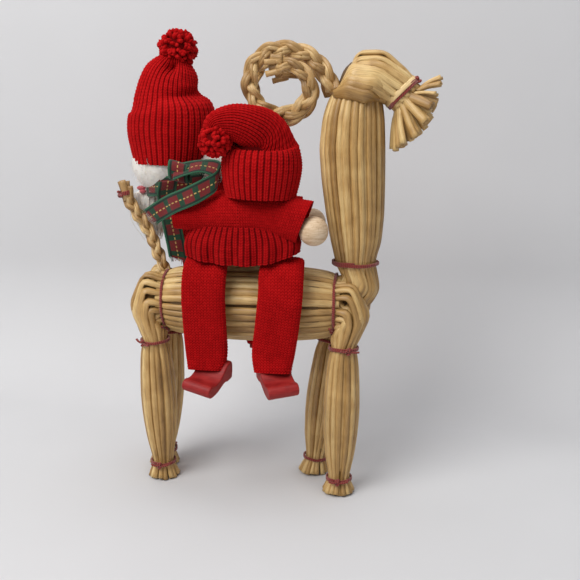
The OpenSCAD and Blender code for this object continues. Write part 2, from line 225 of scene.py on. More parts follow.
class Shader:
    """A material's node tree, with short calls for the nodes that the finishes share."""

    def __init__(self, name, roughness=0.5, **sockets):
        self.material = bpy.data.materials.new(name)
        self.material.use_nodes = True
        self.tree = self.material.node_tree
        self.bsdf = self.tree.nodes["Principled BSDF"]
        self.bsdf.inputs["Roughness"].default_value = roughness
        for socket, value in sockets.items():
            self.bsdf.inputs[socket.replace("_", " ")].default_value = value

    def node(self, kind, **inputs):
        new = self.tree.nodes.new(kind)
        for key, value in inputs.items():
            self.put(new.inputs[key.replace("_", " ")], value)
        return new

    def put(self, socket, value):
        if isinstance(value, bpy.types.NodeSocket):
            self.tree.links.new(value, socket)
        else:
            socket.default_value = value

    def object_coords(self):
        return self.node("ShaderNodeTexCoord").outputs["Object"]

    def uv(self):
        return self.node("ShaderNodeTexCoord").outputs["UV"]

    def attribute(self, name):
        new = self.node("ShaderNodeAttribute")
        new.attribute_name = name
        return new.outputs["Fac"]

    def mapped(self, vector, scale):
        return self.node("ShaderNodeMapping", Vector=vector, Scale=scale).outputs["Vector"]

    def noise(self, vector, scale, detail=3.0, rough=0.55):
        new = self.node("ShaderNodeTexNoise", Vector=vector, Scale=scale, Detail=detail, Roughness=rough)
        return new.outputs["Fac"]

    def math(self, operation, a, b=0.0):
        new = self.tree.nodes.new("ShaderNodeMath")
        new.operation = operation
        self.put(new.inputs[0], a)
        self.put(new.inputs[1], b)
        return new.outputs[0]

    def ramp(self, fac, stops):
        """A colour for each value of fac: stops is a list of (value, (r, g, b))."""
        new = self.node("ShaderNodeValToRGB", Fac=fac)
        band = new.color_ramp.elements
        while len(band) < len(stops):
            band.new(0.5)
        for item, (place, colour) in zip(band, stops):
            item.position = place
            item.color = (*colour, 1)
        return new.outputs["Color"]

    def mix(self, fac, a, b, blend="MIX"):
        new = self.tree.nodes.new("ShaderNodeMix")
        new.data_type = "RGBA"
        new.blend_type = blend
        self.put(new.inputs[0], fac)
        self.put(new.inputs[6], a if isinstance(a, bpy.types.NodeSocket) else (*a, 1))
        self.put(new.inputs[7], b if isinstance(b, bpy.types.NodeSocket) else (*b, 1))
        return new.outputs[2]

    def bump(self, height, strength, distance):
        new = self.node("ShaderNodeBump", Height=height, Strength=strength, Distance=distance)
        self.put(self.bsdf.inputs["Normal"], new.outputs["Normal"])

    def colour(self, value):
        self.put(self.bsdf.inputs["Base Color"], value)

    def rough(self, value):
        self.put(self.bsdf.inputs["Roughness"], value)


def straw_material(name, dark, mid, light, roughness=0.42):
    """Dry straw: each stem has its own tone, fine fibres run along it, and blotches weather it."""
    s = Shader(name, roughness, Specular_IOR_Level=0.45, Coat_Weight=0.12, Coat_Roughness=0.3)
    uv = s.uv()
    fibre = s.noise(s.mapped(uv, (16.0, 0.05, 1.0)), 2.2, 4.0, 0.65)
    streak = s.noise(s.mapped(uv, (5.0, 0.012, 1.0)), 1.5, 2.0)
    blotch = s.noise(s.object_coords(), 90.0, 3.0)
    tone = s.attribute("tone")
    value = s.math("ADD", s.math("MULTIPLY", tone, 0.5), s.math("MULTIPLY", streak, 0.4))
    value = s.math("ADD", value, s.math("MULTIPLY", s.math("SUBTRACT", blotch, 0.5), 0.5))
    base = s.ramp(value, [(0.12, dark), (0.42, mid), (0.8, light)])
    fleck = s.ramp(fibre, [(0.3, (0.62, 0.52, 0.4)), (0.5, (1, 1, 1)), (0.72, (1.12, 1.1, 1.05))])
    s.colour(s.mix(1.0, base, fleck, "MULTIPLY"))
    s.rough(s.math("ADD", s.math("MULTIPLY", blotch, 0.25), roughness - 0.1))
    s.bump(fibre, 0.35, 0.00025)
    return s.material


def thread_material():
    """Two-ply cotton thread: grooves wind round it at a slant, and painted shade darkens them."""
    s = Shader("thread_red", 0.75, Sheen_Weight=0.3, Sheen_Roughness=0.5)
    parts = s.node("ShaderNodeSeparateXYZ", Vector=s.uv())
    ply = s.math("SINE", s.math("MULTIPLY", s.math("ADD", s.math("MULTIPLY", parts.outputs["Y"], 0.9),
                                                    s.math("MULTIPLY", parts.outputs["X"], 2.0)), TAU))
    fuzz = s.noise(s.object_coords(), 1400.0, 2.0)
    # ply mixes painted shade into the grooves between the plies; fuzz varies the colour at random.
    s.colour(s.mix(s.math("ADD", s.math("MULTIPLY", ply, 0.35), s.math("MULTIPLY", fuzz, 0.6)),
                   (0.14, 0.010, 0.006), (0.42, 0.045, 0.025)))
    s.bump(ply, 0.6, 0.0002)
    return s.material


def knit_material(name, shade, mid, light):
    """Wool yarn: tone is the height of the stitch, so painted shade darkens the hollows between loops, and
    stray fibres break the colour up."""
    s = Shader(name, 0.9, Sheen_Weight=0.05, Sheen_Roughness=0.5, Sheen_Tint=(1.0, 0.2, 0.16, 1.0),
               Specular_IOR_Level=0.06)
    coords = s.object_coords()
    fibre = s.noise(coords, 1900.0, 3.0, 0.7)
    patch = s.noise(coords, 60.0, 2.0)
    value = s.math("ADD", s.math("MULTIPLY", s.attribute("tone"), 0.72), s.math("MULTIPLY", fibre, 0.3))
    value = s.math("ADD", value, s.math("MULTIPLY", s.math("SUBTRACT", patch, 0.5), 0.22))
    s.colour(s.ramp(value, [(0.18, shade), (0.55, mid), (0.95, light)]))
    s.bump(fibre, 0.45, 0.00025)
    return s.material


def wool_material():
    """Raw white wool: short fibres with a soft sheen and faint yellow patches."""
    s = Shader("white_wool", 0.9, Sheen_Weight=0.35, Sheen_Roughness=0.6, Subsurface_Weight=0.15)
    s.bsdf.inputs["Subsurface Radius"].default_value = (0.004, 0.003, 0.002)
    coords = s.object_coords()
    tuft = s.noise(coords, 380.0, 4.0, 0.7)
    patch = s.noise(coords, 45.0, 2.0)
    shade = s.math("ADD", s.math("MULTIPLY", tuft, 0.55), s.math("MULTIPLY", patch, 0.45))
    s.colour(s.ramp(shade, [(0.25, (0.62, 0.56, 0.48)), (0.5, (0.76, 0.72, 0.66)),
                            (0.75, (0.86, 0.84, 0.8))]))
    s.bump(tuft, 0.5, 0.0006)
    return s.material


def felt_material(name, shade, light):
    """Thick felt: matted fibres over a soft, uneven colour."""
    s = Shader(name, 0.95, Sheen_Weight=0.3, Sheen_Roughness=0.5)
    coords = s.object_coords()
    mat_ = s.noise(coords, 900.0, 4.0, 0.7)
    s.colour(s.ramp(mat_, [(0.3, shade), (0.7, light)]))
    s.bump(mat_, 0.5, 0.0003)
    return s.material


def bead_material():
    """Bare turned wood: fine grain lines along the bead and a few pores."""
    s = Shader("turned_bead", 0.55, Specular_IOR_Level=0.35)
    coords = s.object_coords()
    grain = s.noise(s.mapped(coords, (1.0, 1.0, 7.0)), 150.0, 5.0, 0.6)
    pore = s.noise(s.mapped(coords, (1.0, 1.0, 0.12)), 1500.0, 2.0)
    base = s.ramp(grain, [(0.3, (0.50, 0.33, 0.19)), (0.5, (0.66, 0.49, 0.32)), (0.7, (0.76, 0.60, 0.43))])
    s.colour(s.mix(1.0, base, s.ramp(pore, [(0.28, (0.7, 0.62, 0.55)), (0.42, (1, 1, 1))]), "MULTIPLY"))
    s.bump(pore, 0.25, 0.0001)
    return s.material


def paint_material():
    """Thin red paint on wood: the grain shows through, and the colour is uneven and half matt."""
    s = Shader("red_paint", 0.55, Specular_IOR_Level=0.35)
    coords = s.object_coords()
    grain = s.noise(s.mapped(coords, (1.0, 0.25, 6.0)), 260.0, 4.0)
    wear = s.noise(coords, 120.0, 3.0)
    value = s.math("ADD", s.math("MULTIPLY", grain, 0.5), s.math("MULTIPLY", wear, 0.5))
    s.colour(s.ramp(value, [(0.3, (0.17, 0.005, 0.006)), (0.5, (0.28, 0.010, 0.009)),
                            (0.72, (0.38, 0.022, 0.018))]))
    s.rough(s.math("ADD", s.math("MULTIPLY", wear, 0.3), 0.4))
    s.bump(grain, 0.35, 0.00012)
    return s.material


def ribbon_material():
    """Woven ribbon, in millimetres across (u) and along (v): bright green edges, a near-black
    stripe inside each, then red and green blocks with a dashed gold line down the middle."""
    s = Shader("ribbon_plaid", 0.7, Sheen_Weight=0.2, Sheen_Roughness=0.5, Specular_IOR_Level=0.25)
    parts = s.node("ShaderNodeSeparateXYZ", Vector=s.uv())
    across, length = parts.outputs["X"], parts.outputs["Y"]
    off = s.math("ABSOLUTE", across)
    edge = s.math("GREATER_THAN", off, 4.1)
    stripe = s.math("MULTIPLY", s.math("GREATER_THAN", off, 3.1), s.math("LESS_THAN", off, 4.1))
    wave = s.math("SINE", s.math("MULTIPLY", length, TAU / 9.0))
    block = s.math("GREATER_THAN", wave, -0.5)
    weft = s.math("SINE", s.math("MULTIPLY", length, TAU / 0.55))
    warp = s.math("SINE", s.math("MULTIPLY", across, TAU / 0.5))
    weave = s.math("ADD", s.math("MULTIPLY", s.math("MULTIPLY", weft, warp), 0.5), 0.5)
    field = s.mix(block, (0.010, 0.055, 0.024), (0.20, 0.007, 0.011))
    thread = s.noise(s.mapped(s.uv(), (1.0, 1.0, 1.0)), 2.2, 2.0, 0.6)
    fleck = s.math("MULTIPLY", s.math("GREATER_THAN", thread, 0.60), 0.75)
    field = s.mix(fleck, field, (0.012, 0.07, 0.03))
    dash = s.math("MULTIPLY", s.math("LESS_THAN", off, 0.3),
                  s.math("GREATER_THAN", s.math("SINE", s.math("MULTIPLY", length, TAU / 2.25)), -0.1))
    colour = s.mix(stripe, field, (0.006, 0.02, 0.012))
    colour = s.mix(edge, colour, (0.018, 0.12, 0.055))
    colour = s.mix(dash, colour, (0.62, 0.40, 0.12))
    shade = s.ramp(weave, [(0.0, (0.55, 0.55, 0.55)), (1.0, (1.1, 1.1, 1.1))])
    s.colour(s.mix(1.0, colour, shade, "MULTIPLY"))
    s.bump(weave, 0.6, 0.0002)
    return s.material


def plain_material(name, colour, roughness):
    """A smooth, barely mottled ground for the studio."""
    s = Shader(name, roughness)
    mottle = s.noise(s.object_coords(), 9.0, 2.0)
    s.colour(s.ramp(mottle, [(0.3, tuple(c * 0.97 for c in colour)), (0.7, colour)]))
    return s.material


STRAW = straw_material("straw_stem", (0.24, 0.125, 0.034), (0.49, 0.295, 0.10), (0.80, 0.59, 0.27))
# Dark straw colours for the hidden cores of the bundles: painted shade in the gaps between the stems.
STRAW_SHADE = straw_material("straw_inside_painted_shade", (0.07, 0.035, 0.010), (0.11, 0.06, 0.018), (0.16, 0.09, 0.03),
                             0.8)
HORN_STRAW = straw_material("straw_braided", (0.22, 0.115, 0.036), (0.50, 0.305, 0.115), (0.80, 0.60, 0.30))
THREAD = thread_material()
KNIT = knit_material("knitting", (0.06, 0.0006, 0.001), (0.34, 0.002, 0.003), (0.58, 0.012, 0.013))
# A darker copy of the knitting for the hem bands: painted shade for the shadow under the sleeves.
KNIT_PAINTED_SHADE = knit_material("knitting_painted_shade", (0.045, 0.0006, 0.001), (0.27, 0.0015, 0.0025),
                          (0.50, 0.010, 0.011))
WOOL = wool_material()
PINK = felt_material("mouth_pink", (0.42, 0.06, 0.08), (0.62, 0.14, 0.16))
BEAD = bead_material()
PAINT = paint_material()
RIBBON = ribbon_material()

# --- Straw -----------------------------------------------------------------------------------


def stems(paths, half_width, half_depth, up, rng, hollow=0.0, flatten=0.35, sides=8):
    """Straw stems along paths (m, n, 3). A stem swells a little at its joints, wanders in width,
    and is pressed flat where its path turns sharply. Tone differs from stem to stem."""
    m, n = paths.shape[:2]
    half_width = np.broadcast_to(half_width, (m, n)) * rng.uniform(0.86, 1.12, (m, 1))
    half_depth = np.broadcast_to(half_depth, (m, n)) * rng.uniform(0.88, 1.1, (m, 1))
    turn = np.zeros((m, n))
    heading = unit(np.diff(paths, axis=1))
    turn[:, 1:-1] = np.arccos(np.clip(np.sum(heading[:, 1:] * heading[:, :-1], -1), -1, 1))
    crush = np.clip(turn * 1.6, 0, 1) * flatten
    where = rng.uniform(0, 1.8, (m, 1)) - np.linspace(0, 1, n)
    knuckle = np.exp(-(where * 40) ** 2)
    wander = 1 + 0.05 * np.sin(np.linspace(0, 9, n) + rng.uniform(0, TAU, (m, 1)))
    width = half_width * wander * (1 + 0.5 * crush + 0.10 * knuckle)
    depth = half_depth * (1 - crush + 0.10 * knuckle)
    verts, faces, uv, owner = tubes(paths, width, depth, up, sides, hollow)
    shift = np.repeat(rng.uniform(0, 900, m), len(uv[0]) // m)
    uv[0] = uv[0] + np.stack([np.zeros_like(shift), shift], -1)
    tone = rng.uniform(0.05, 0.95, m)[owner]
    ring = np.repeat(knuckle[:, :, None], sides, 2)
    if hollow:
        ring = np.pad(ring, ((0, 0), (2, 2), (0, 0)))
    return verts, faces, uv, np.clip(tone - 0.3 * ring.ravel(), 0, 1)


def core(points, radii, count=36, sides=20):
    """The hidden inside of a bundle: a plain tube along points with the radii given there."""
    paths = relax(resample(np.array([points], float), count), 2)
    step = np.linalg.norm(np.diff(points, axis=0), axis=-1)
    reach = np.concatenate([[0], np.cumsum(step)])
    radius = np.interp(np.linspace(0, reach[-1], count), reach, radii)[None]
    up = np.array([0.0, 1.0, 0.0])
    verts, faces, uv, _ = tubes(paths, radius, radius, up, sides)
    return verts, faces, uv, 0.3


def bulge(s, waist, belly):
    """Radius of a bundle tied at s = 0 and s = 1: it swells quickly beside each tie."""
    return waist + (belly - waist) * np.abs(np.sin(math.pi * np.clip(s, 0, 1))) ** 0.5


def body_straws():
    """Stems laid side by side round the body's axis, from just behind one tie to just past the other."""
    rng = np.random.default_rng(11)
    count, rings = 30, 36
    turn = (np.arange(count) + rng.uniform(-0.22, 0.22, count)) / count * TAU
    s = np.linspace(-0.035, 1.035, rings)
    radius = bulge(s, WAIST_R, BODY_R)
    x = REAR_TIE_X + (FRONT_TIE_X - REAR_TIE_X) * s
    half_width = np.minimum(2.5, math.pi * radius / count * 1.03)
    half_depth = np.full(rings, 1.7)
    lift = rng.uniform(-0.7, 0.25, (count, 1)) * np.sin(math.pi * np.clip(s, 0, 1))
    drift = rng.uniform(-0.035, 0.035, (count, 1)) * np.sin(math.pi * s)
    angle = turn[:, None] + drift
    r = radius - half_depth + lift
    out = np.stack([np.zeros_like(angle), np.cos(angle), np.sin(angle)], -1)
    paths = out * r[..., None] + np.stack([x, np.zeros(rings), np.full(rings, BODY_Z)], -1)
    outer = stems(paths, half_width, half_depth, out, rng, hollow=1.5)
    inside = core([[x[0] + 3, 0, BODY_Z], [-48, 0, BODY_Z], [-10, 0, BODY_Z], [26, 0, BODY_Z],
                   [x[-1] - 3, 0, BODY_Z]],
                      [WAIST_R - 2.5, BODY_R - 3, BODY_R - 2.5, BODY_R - 3, WAIST_R - 2.5])
    dress("body_straws", [outer], STRAW, "body_barrel")
    dress("body_inside", [inside], STRAW_SHADE)


def dress(name, parts, material, *nodes, body="root"):
    """Makes the piece, lets it ride on its body and stand for its CAD nodes. A piece that is
    blended across a joint rides on no single body."""
    piece = made(name, parts, material)
    if body:
        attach(piece, body)
    if nodes:
        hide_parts(*nodes)
    return piece


def leg_straws(name, upper, ankle, end, side, seed):
    """The stems of one goat leg. Each leaves the body's tie, is kinked twice round the hip or
    shoulder, passes under the upper tie, swells, and is drawn in again at the ankle. A stem on
    the outside of the bend takes the long way round and one on the inside the short way. A second
    layer of stems, within the first, fills the gaps between them."""
    rng = np.random.default_rng(seed)
    upper, ankle = np.array(upper, float), np.array(ankle, float)
    count = 16
    turn = (np.arange(count) + rng.uniform(-0.2, 0.2, count)) / count * TAU
    outer = np.cos(turn) * 0.5 + 0.5
    flank = np.sin(turn)
    tie_x = FRONT_TIE_X if end > 0 else REAR_TIE_X
    top, reach = (31.0, 13.5) if end > 0 else (34.0, 13.5)
    bend_z = 86.0
    y_tie = side * (7.2 + 6.2 * flank)
    y_bend = side * (9.0 + (9.5 - 3.0 * outer) * flank)
    z_tie = BODY_Z + (outer * 2 - 1) * 12.5
    def kink(degrees, jitter, least):
        rad = math.radians(degrees)
        rise = (3 + (top - 3) * outer) * math.sin(rad)
        run = (least + (1.5 + reach - least) * outer) * math.cos(rad) + 2.0
        return np.stack([tie_x + end * (run + 2.0), y_bend, bend_z + rise],
                        -1) + rng.uniform(-jitter, jitter, (count, 3))
    start = np.stack([np.full(count, tie_x - end * 1.5), y_tie, z_tie], -1)
    ray = np.stack([end * np.cos(turn), side * flank, np.zeros(count)], -1)
    axis = unit(ankle - upper)
    foot = upper + axis * (upper[2] / -axis[2])
    shank_s = np.array([0.0, 0.05, 0.13, 0.28, 0.45, 0.62, 0.8, 0.93, 1.0])
    shank_r = np.array([6.3, 7.5, 8.4, 9.2, LEG_BELLY_R, 9.3, 8.0, 6.2, 5.5]) - 1.3
    shank = [upper + (ankle - upper) * s + ray * r for s, r in zip(shank_s, shank_r)]
    end_ring = foot + ray * (FOOT_R - 0.4) + np.array([0, 0, 1.0]) * rng.uniform(0.15, 1.2, (count, 1))
    paths = np.stack([start, kink(66, 0.8, 1.5), kink(22, 0.8, -5.0)] + shank + [end_ring], 1)
    paths = relax(resample(paths, 52), 1)
    up = unit(np.stack([ray] * 52, 1) + np.linspace(0.8, 0, 52)[None, :, None] * np.array([0, 0, 1.0]))
    centre = upper + (ankle - upper) * np.clip((upper[2] - paths[..., 2:3]) / (upper[2] - ankle[2]), 0, 1)
    crowd = np.linalg.norm((paths - centre)[..., :2], axis=-1)
    bend = smoothstep((0.34 - np.linspace(0, 1, 52)) / 0.12) * smoothstep(np.linspace(0, 1, 52) / 0.06)
    half_width = np.clip(math.pi * crowd / count * 1.06, 1.1, 2.35) + 0.75 * bend * np.abs(flank)[:, None]
    within = centre + (paths - centre) * (1 - 0.2 * bend[:, None] - 0.12)
    within = (within + np.roll(within, 1, 0)) / 2
    parts = [stems(paths, half_width, 1.35, up, rng, hollow=1.5),
             stems(within[:, :46], half_width[:, :46], 1.2, up[:, :46], rng)]
    inner = foot_tuft(foot, rng)
    middle = [[tie_x, side * 7, BODY_Z - 1], [tie_x + end * 6, side * 8.5, BODY_Z + 2],
              [tie_x + end * 7, side * 9.5, 93],
              upper, upper + (ankle - upper) * 0.2, upper + (ankle - upper) * 0.5,
              upper + (ankle - upper) * 0.8, ankle]
    hidden = core(middle, [5.0, 5.0, 4.4, 3.6, 6.3, 6.8, 5.2, 3.4])
    dress(f"{name}_straws", parts + [inner], STRAW, name)
    dress(f"{name}_inside", [hidden], STRAW_SHADE)


def foot_tuft(foot, rng):
    """Short cut ends that fill the middle of a foot."""
    count = 16
    angle = rng.uniform(0, TAU, count)
    r = np.sqrt(rng.uniform(0, 1, count)) * 4.6
    ray = np.stack([np.cos(angle), np.sin(angle), np.zeros(count)], -1)
    low = foot + ray * r[:, None] * 1.5 + np.array([0, 0, 1.0]) * rng.uniform(0.2, 1.6, (count, 1))
    high = foot + ray * r[:, None] * 0.7 + np.array([0, 0, 8.5])
    paths = resample(np.stack([high, low], 1), 5)
    return stems(paths, 1.0, 0.8, unit(ray + 1e-3)[:, None], rng, hollow=0.8, sides=6)


def neck_straws():
    """The middle share of the body's straw: it leaves the front tie, turns up in two kinks at the
    chest, is tied, swells into the neck and is drawn in again at the roots of the horns. A second
    layer of stems lies within the first."""
    rng = np.random.default_rng(5)
    count = 26
    turn = (np.arange(count) + rng.uniform(-0.2, 0.2, count)) / count * TAU
    outer = np.cos(turn) * 0.5 + 0.5
    flank = np.sin(turn)
    start = np.stack([np.full(count, FRONT_TIE_X - 1.0), 6.5 * flank, BODY_Z + 6 - 17 * outer], -1)
    corner = np.array([FRONT_TIE_X + 3.0, 0, 117.0])
    def kink(degrees):
        rad = math.radians(degrees)
        run = (2 + 18.5 * outer) * math.cos(rad)
        drop = (2 + 24.0 * outer) * math.sin(rad)
        y = (11.0 - 2.0 * outer) * flank
        jitter = rng.uniform(-0.7, 0.7, (count, 3))
        return corner + np.stack([run, y, -drop], -1) + jitter
    ray = np.stack([np.cos(turn), np.sin(turn), np.zeros(count)], -1)
    along = np.array([0.0, 0.05, 0.14, 0.3, 0.5, 0.68, 0.85, 0.95, 1.0, 1.03])
    radius = np.array([10.6, 11.4, 13.4, 15.2, 16.4, 16.9, 15.8, 13.8, 11.6, 11.0]) - 1.6
    lean = np.array([0, 0, 0.2, -0.4, -1.4, -2.0, -1.4, -0.6, 0.0, 0.0])
    neck = [NECK_BASE + (NECK_TOP - NECK_BASE) * s + ray * r + np.array([d, 0, 0]) for s, r,
            d in zip(along, radius, lean)]
    paths = relax(resample(np.stack([start, kink(68), kink(20)] + neck, 1), 60), 1)
    up = (np.broadcast_to(ray[:, None], paths.shape)
          - np.array([0, 0, 0.5]) * (np.linspace(1, 0, 60) ** 3)[None, :, None])
    centre = NECK_BASE + (NECK_TOP - NECK_BASE) * np.clip((paths[..., 2:3] - NECK_BASE[2]) / 86.0, 0, 1)
    crowd = np.linalg.norm((paths - centre)[..., :2], axis=-1)
    bend = smoothstep((0.3 - np.linspace(0, 1, 60)) / 0.1) * smoothstep(np.linspace(0, 1, 60) / 0.06)
    half_width = np.clip(math.pi * crowd / count * 1.08, 1.15, 2.5) + 0.6 * bend * np.abs(flank)[:, None]
    within = centre + (paths - centre) * (1 - 0.16 * bend[:, None] - 0.08)
    within = (within + np.roll(within, 1, 0)) / 2
    dress("neck_straws", [stems(paths, half_width, 1.5, up, rng, hollow=1.2),
                          stems(within, half_width, 1.3, up, rng)], STRAW,
          "neck_bundle")
    spine = [[FRONT_TIE_X, 0, BODY_Z - 2], [46, 0, 104],
             NECK_BASE] + [NECK_BASE + (NECK_TOP - NECK_BASE) * s for s in (0.15, 0.5, 0.7, 0.88, 1)]
    dress("neck_inside", [core(spine, [6.5, 6.0, 6.5, 10, 13.0, 13.1, 11.2, 7.6], 44, 24)], STRAW_SHADE)


def head_straws():
    """Broad flattened stems that rise from the horns' roots, are kinked over the crown and run
    down to the muzzle: height 0 is the lowest stem on a cheek and 1 the one along the ridge."""
    rng = np.random.default_rng(8)
    per_side = 8
    height = np.tile(np.linspace(0, 1, per_side), 2)
    side = np.repeat([-1.0, 1.0], per_side)
    h = height[:, None]
    flat = np.array([1.0, 0.0, 1.0])
    def row(low, high, bow):
        """A point on each stem between the lowest and the highest, bowed out to the side."""
        p = np.array(low) * (1 - h) + np.array(high) * h
        p = p + np.array([0, -1.0, 0]) * bow * np.sin(math.pi * (0.12 + 0.8 * h))
        p[:, 1] *= -side
        return p + rng.uniform(-0.5, 0.5, p.shape)
    start = row([33.5, -8.5, 208.0], [39.0, -1.0, 211.0], 2.0)
    rise = row([40.0, -12.5, 208.6], [44.0, -1.5, 227.5], 4.5)
    crest = row([50.0, -13.5, 206.0], [57.0, -1.5, 228.0], 4.0)
    swing = math.pi * (1 - height)
    normal = flat / math.sqrt(2)
    ring = (MUZZLE + np.cos(swing)[:, None] * normal * (MUZZLE_R - 1.4)
            + np.sin(swing)[:, None] * side[:, None] * np.array([0, MUZZLE_R - 1.4, 0]))
    near_ring = ring - MUZZLE_DIR * 5 + (ring - MUZZLE) * 0.12
    paths = relax(resample(np.stack([start, rise, crest, near_ring, ring, ring + MUZZLE_DIR * 2.5], 1), 34),
                  1)
    heart = np.array([52.0, 0, 212.0])
    up = unit(paths - heart)
    taper = np.interp(np.linspace(0, 1, 34), [0, 0.25, 0.75, 1], [2.0, 3.1, 3.0, 1.9])
    parts = [stems(paths, taper, 1.35, up, rng, hollow=0.8, flatten=0.5)]
    dress("head_straws", parts, STRAW, "head_bundle")
    inside = core([[40, 0, 206], [46, 0, 214], [53, 0, 216], [60, 0, 212.5], MUZZLE + MUZZLE_DIR * 2],
                  [8, 11, 11, 9.5, 6.8])
    dress("head_inside", [inside], STRAW_SHADE)


def beard_straws():
    """The cut ends beyond the muzzle, fanned out: thick stems below and fine split ones above."""
    rng = np.random.default_rng(21)
    count = 46
    swing = rng.uniform(0, TAU, count)
    swing[:18] = np.linspace(0, TAU, 18, endpoint=False)
    rho = np.sqrt(rng.uniform(0.05, 1, count))
    rho[:18] = 1.0
    normal = np.array([1.0, 0, 1.0]) / math.sqrt(2)
    lateral = np.array([0, 1.0, 0])
    high = (np.cos(swing) * rho)[:, None]
    wide = (np.sin(swing) * rho)[:, None]
    root = MUZZLE - MUZZLE_DIR * 1.0 + normal * high * 7.4 + lateral * wide * 7.4
    tilt = np.radians(8 + 50 * high)
    heading = unit(MUZZLE_DIR * np.cos(tilt) + normal * np.sin(tilt) + lateral * wide * 0.32)
    length = 23 - 8.5 * smoothstep(high * 0.5 + 0.5) + rng.uniform(-1.8, 0.6, (count, 1))
    mid = root + heading * 0.5 * length + MUZZLE_DIR * 1.2
    tip = root + heading * length
    paths = relax(resample(np.stack([root, root + MUZZLE_DIR * 4, mid, tip], 1), 12), 1)
    thick = np.where(high[:, 0] > 0.35, 0.95, 1.95)[:, None]
    parts = [stems(paths, thick * 1.1, thick * 0.8, unit(normal * high + lateral * wide + 1e-3)[:, None], rng,
                   hollow=2.0)]
    dress("beard_straws", parts, STRAW, "beard_fan")


# --- Thread ----------------------------------------------------------------------------------


def thread_tie(node, centre, direction, radius, turns=3.0, knot=0.0, seed=1, tails=True):
    """Thread wound round a bundle, with a knot at the angle knot and two cut ends. The turns
    lie side by side along direction and waver a little."""
    rng = np.random.default_rng(seed)
    direction = unit(np.array(direction, float))
    side = unit(np.cross(direction, [0, 1.0, 0]) if abs(direction[1]) < 0.9 else np.array([1.0, 0, 0]))
    other = np.cross(direction, side)
    thread_r = 0.55
    def on_ring(a, r, h):
        return (np.array(centre, float) + side * (np.cos(a) * r)[...,
                                                                 None] + other * (np.sin(a) * r)[..., None]
                + direction * np.broadcast_to(h, a.shape)[..., None])
    a = np.linspace(0, TAU * turns, int(56 * turns)) + knot
    wave = 0.25 * np.sin(a * 0.9 + rng.uniform(0, TAU)) + 0.12 * np.sin(a * 5.0 + 1.0)
    h = (np.linspace(-0.5, 0.5, len(a))) * (turns - 1) * thread_r * 1.9 + wave
    coil = on_ring(a, np.full(len(a), radius + 0.25), h)[None]
    parts = [(*tubes(coil, thread_r, thread_r, direction, 7)[:3], 0.5)]
    t = np.linspace(0, TAU, 40)
    lump = on_ring(np.full(40, knot) + 0.10 * np.sin(2 * t), radius + 1.0 + 0.5 * np.cos(3 * t),
                   1.3 * np.cos(t) + 0.3 * np.sin(2 * t))[None]
    parts.append((*tubes(relax(lump, 1), thread_r * 1.15, thread_r * 1.15, direction + 0.3 * side, 7)[:3],
                  0.5))
    if tails:
        for sign, reach in ((1, 5.0), (-1, 6.5)):
            s = np.linspace(0, 1, 12)
            droop = rng.uniform(-0.6, 0.6)
            tail = on_ring(knot + sign * (0.1 + s * reach / radius * 0.55), radius + 1.2 + s * 1.4,
                           s * reach * 0.5 * droop - 1.2 * s * s)[None]
            parts.append((*tubes(tail, thread_r * (1 + 0.25 * s)[None], thread_r, direction, 7)[:3], 0.5))
    return dress(f"{node}_thread", parts, THREAD, node)


def all_ties():
    """Every binding, each with its knot where the maker left it."""
    thread_tie("body_tie_rear", [REAR_TIE_X, 0, BODY_Z], [1, 0, 0], WAIST_R + 0.2, 2.0, 2.6, 31)
    thread_tie("body_tie_front", [FRONT_TIE_X, 0, BODY_Z], [1, 0, 0], WAIST_R + 0.2, 2.0, 2.4, 32)
    for i, (name, (upper, ankle, end, side)) in enumerate(GOAT_LEGS.items()):
        axis = np.subtract(ankle, upper)
        knots = {"front_near": 1.15, "front_far": -1.5, "rear_near": 2.2, "rear_far": -2.0}
        thread_tie(f"upper_tie_{name}", upper, axis, LEG_TOP_R - 0.3, 2.4, knots[name], 40 + i)
        thread_tie(f"ankle_tie_{name}", ankle, axis, ANKLE_R - 0.2, 2.4, math.pi / 2 * (-side), 50 + i)
    thread_tie("neck_base_tie", NECK_BASE, NECK_TOP - NECK_BASE, NECK_BASE_R + 0.1, 2.4, -0.9, 61)
    thread_tie("neck_top_tie", NECK_TOP, NECK_TOP - NECK_BASE, NECK_TOP_R + 0.1, 4.0, math.pi, 62)
    thread_tie("muzzle_tie", MUZZLE - MUZZLE_DIR * 0.4, MUZZLE_DIR, MUZZLE_R + 0.3, 2.5, 0.2, 63, tails=False)
    tip = TAIL_POINTS[3] * 0.65 + TAIL_POINTS[4] * 0.35
    thread_tie("tail_tie", tip, TAIL_POINTS[4] - TAIL_POINTS[3], 2.7, 3.0, 0.4, 64)


def muzzle_band():
    """A split straw pressed flat and laid round the muzzle beside the thread."""
    a = np.linspace(0, TAU, 72)
    normal = np.array([1.0, 0, 1.0]) / math.sqrt(2)
    r = MUZZLE_R + 0.75 + 0.2 * np.sin(3 * a)
    ring = (MUZZLE + MUZZLE_DIR * -2.4 + normal * (np.cos(a) * r)[:, None]
            + np.array([0, 1.0, 0]) * (np.sin(a) * r)[:, None]
            + MUZZLE_DIR * (np.linspace(-0.4, 0.4, 72))[:, None])[None]
    parts = [(*tubes(ring, 1.35, 0.3, unit(ring - MUZZLE), 10)[:3], 0.95)]
    dress("muzzle_split_straw", parts, HORN_STRAW, "muzzle_band")


# --- Braids ----------------------------------------------------------------------------------


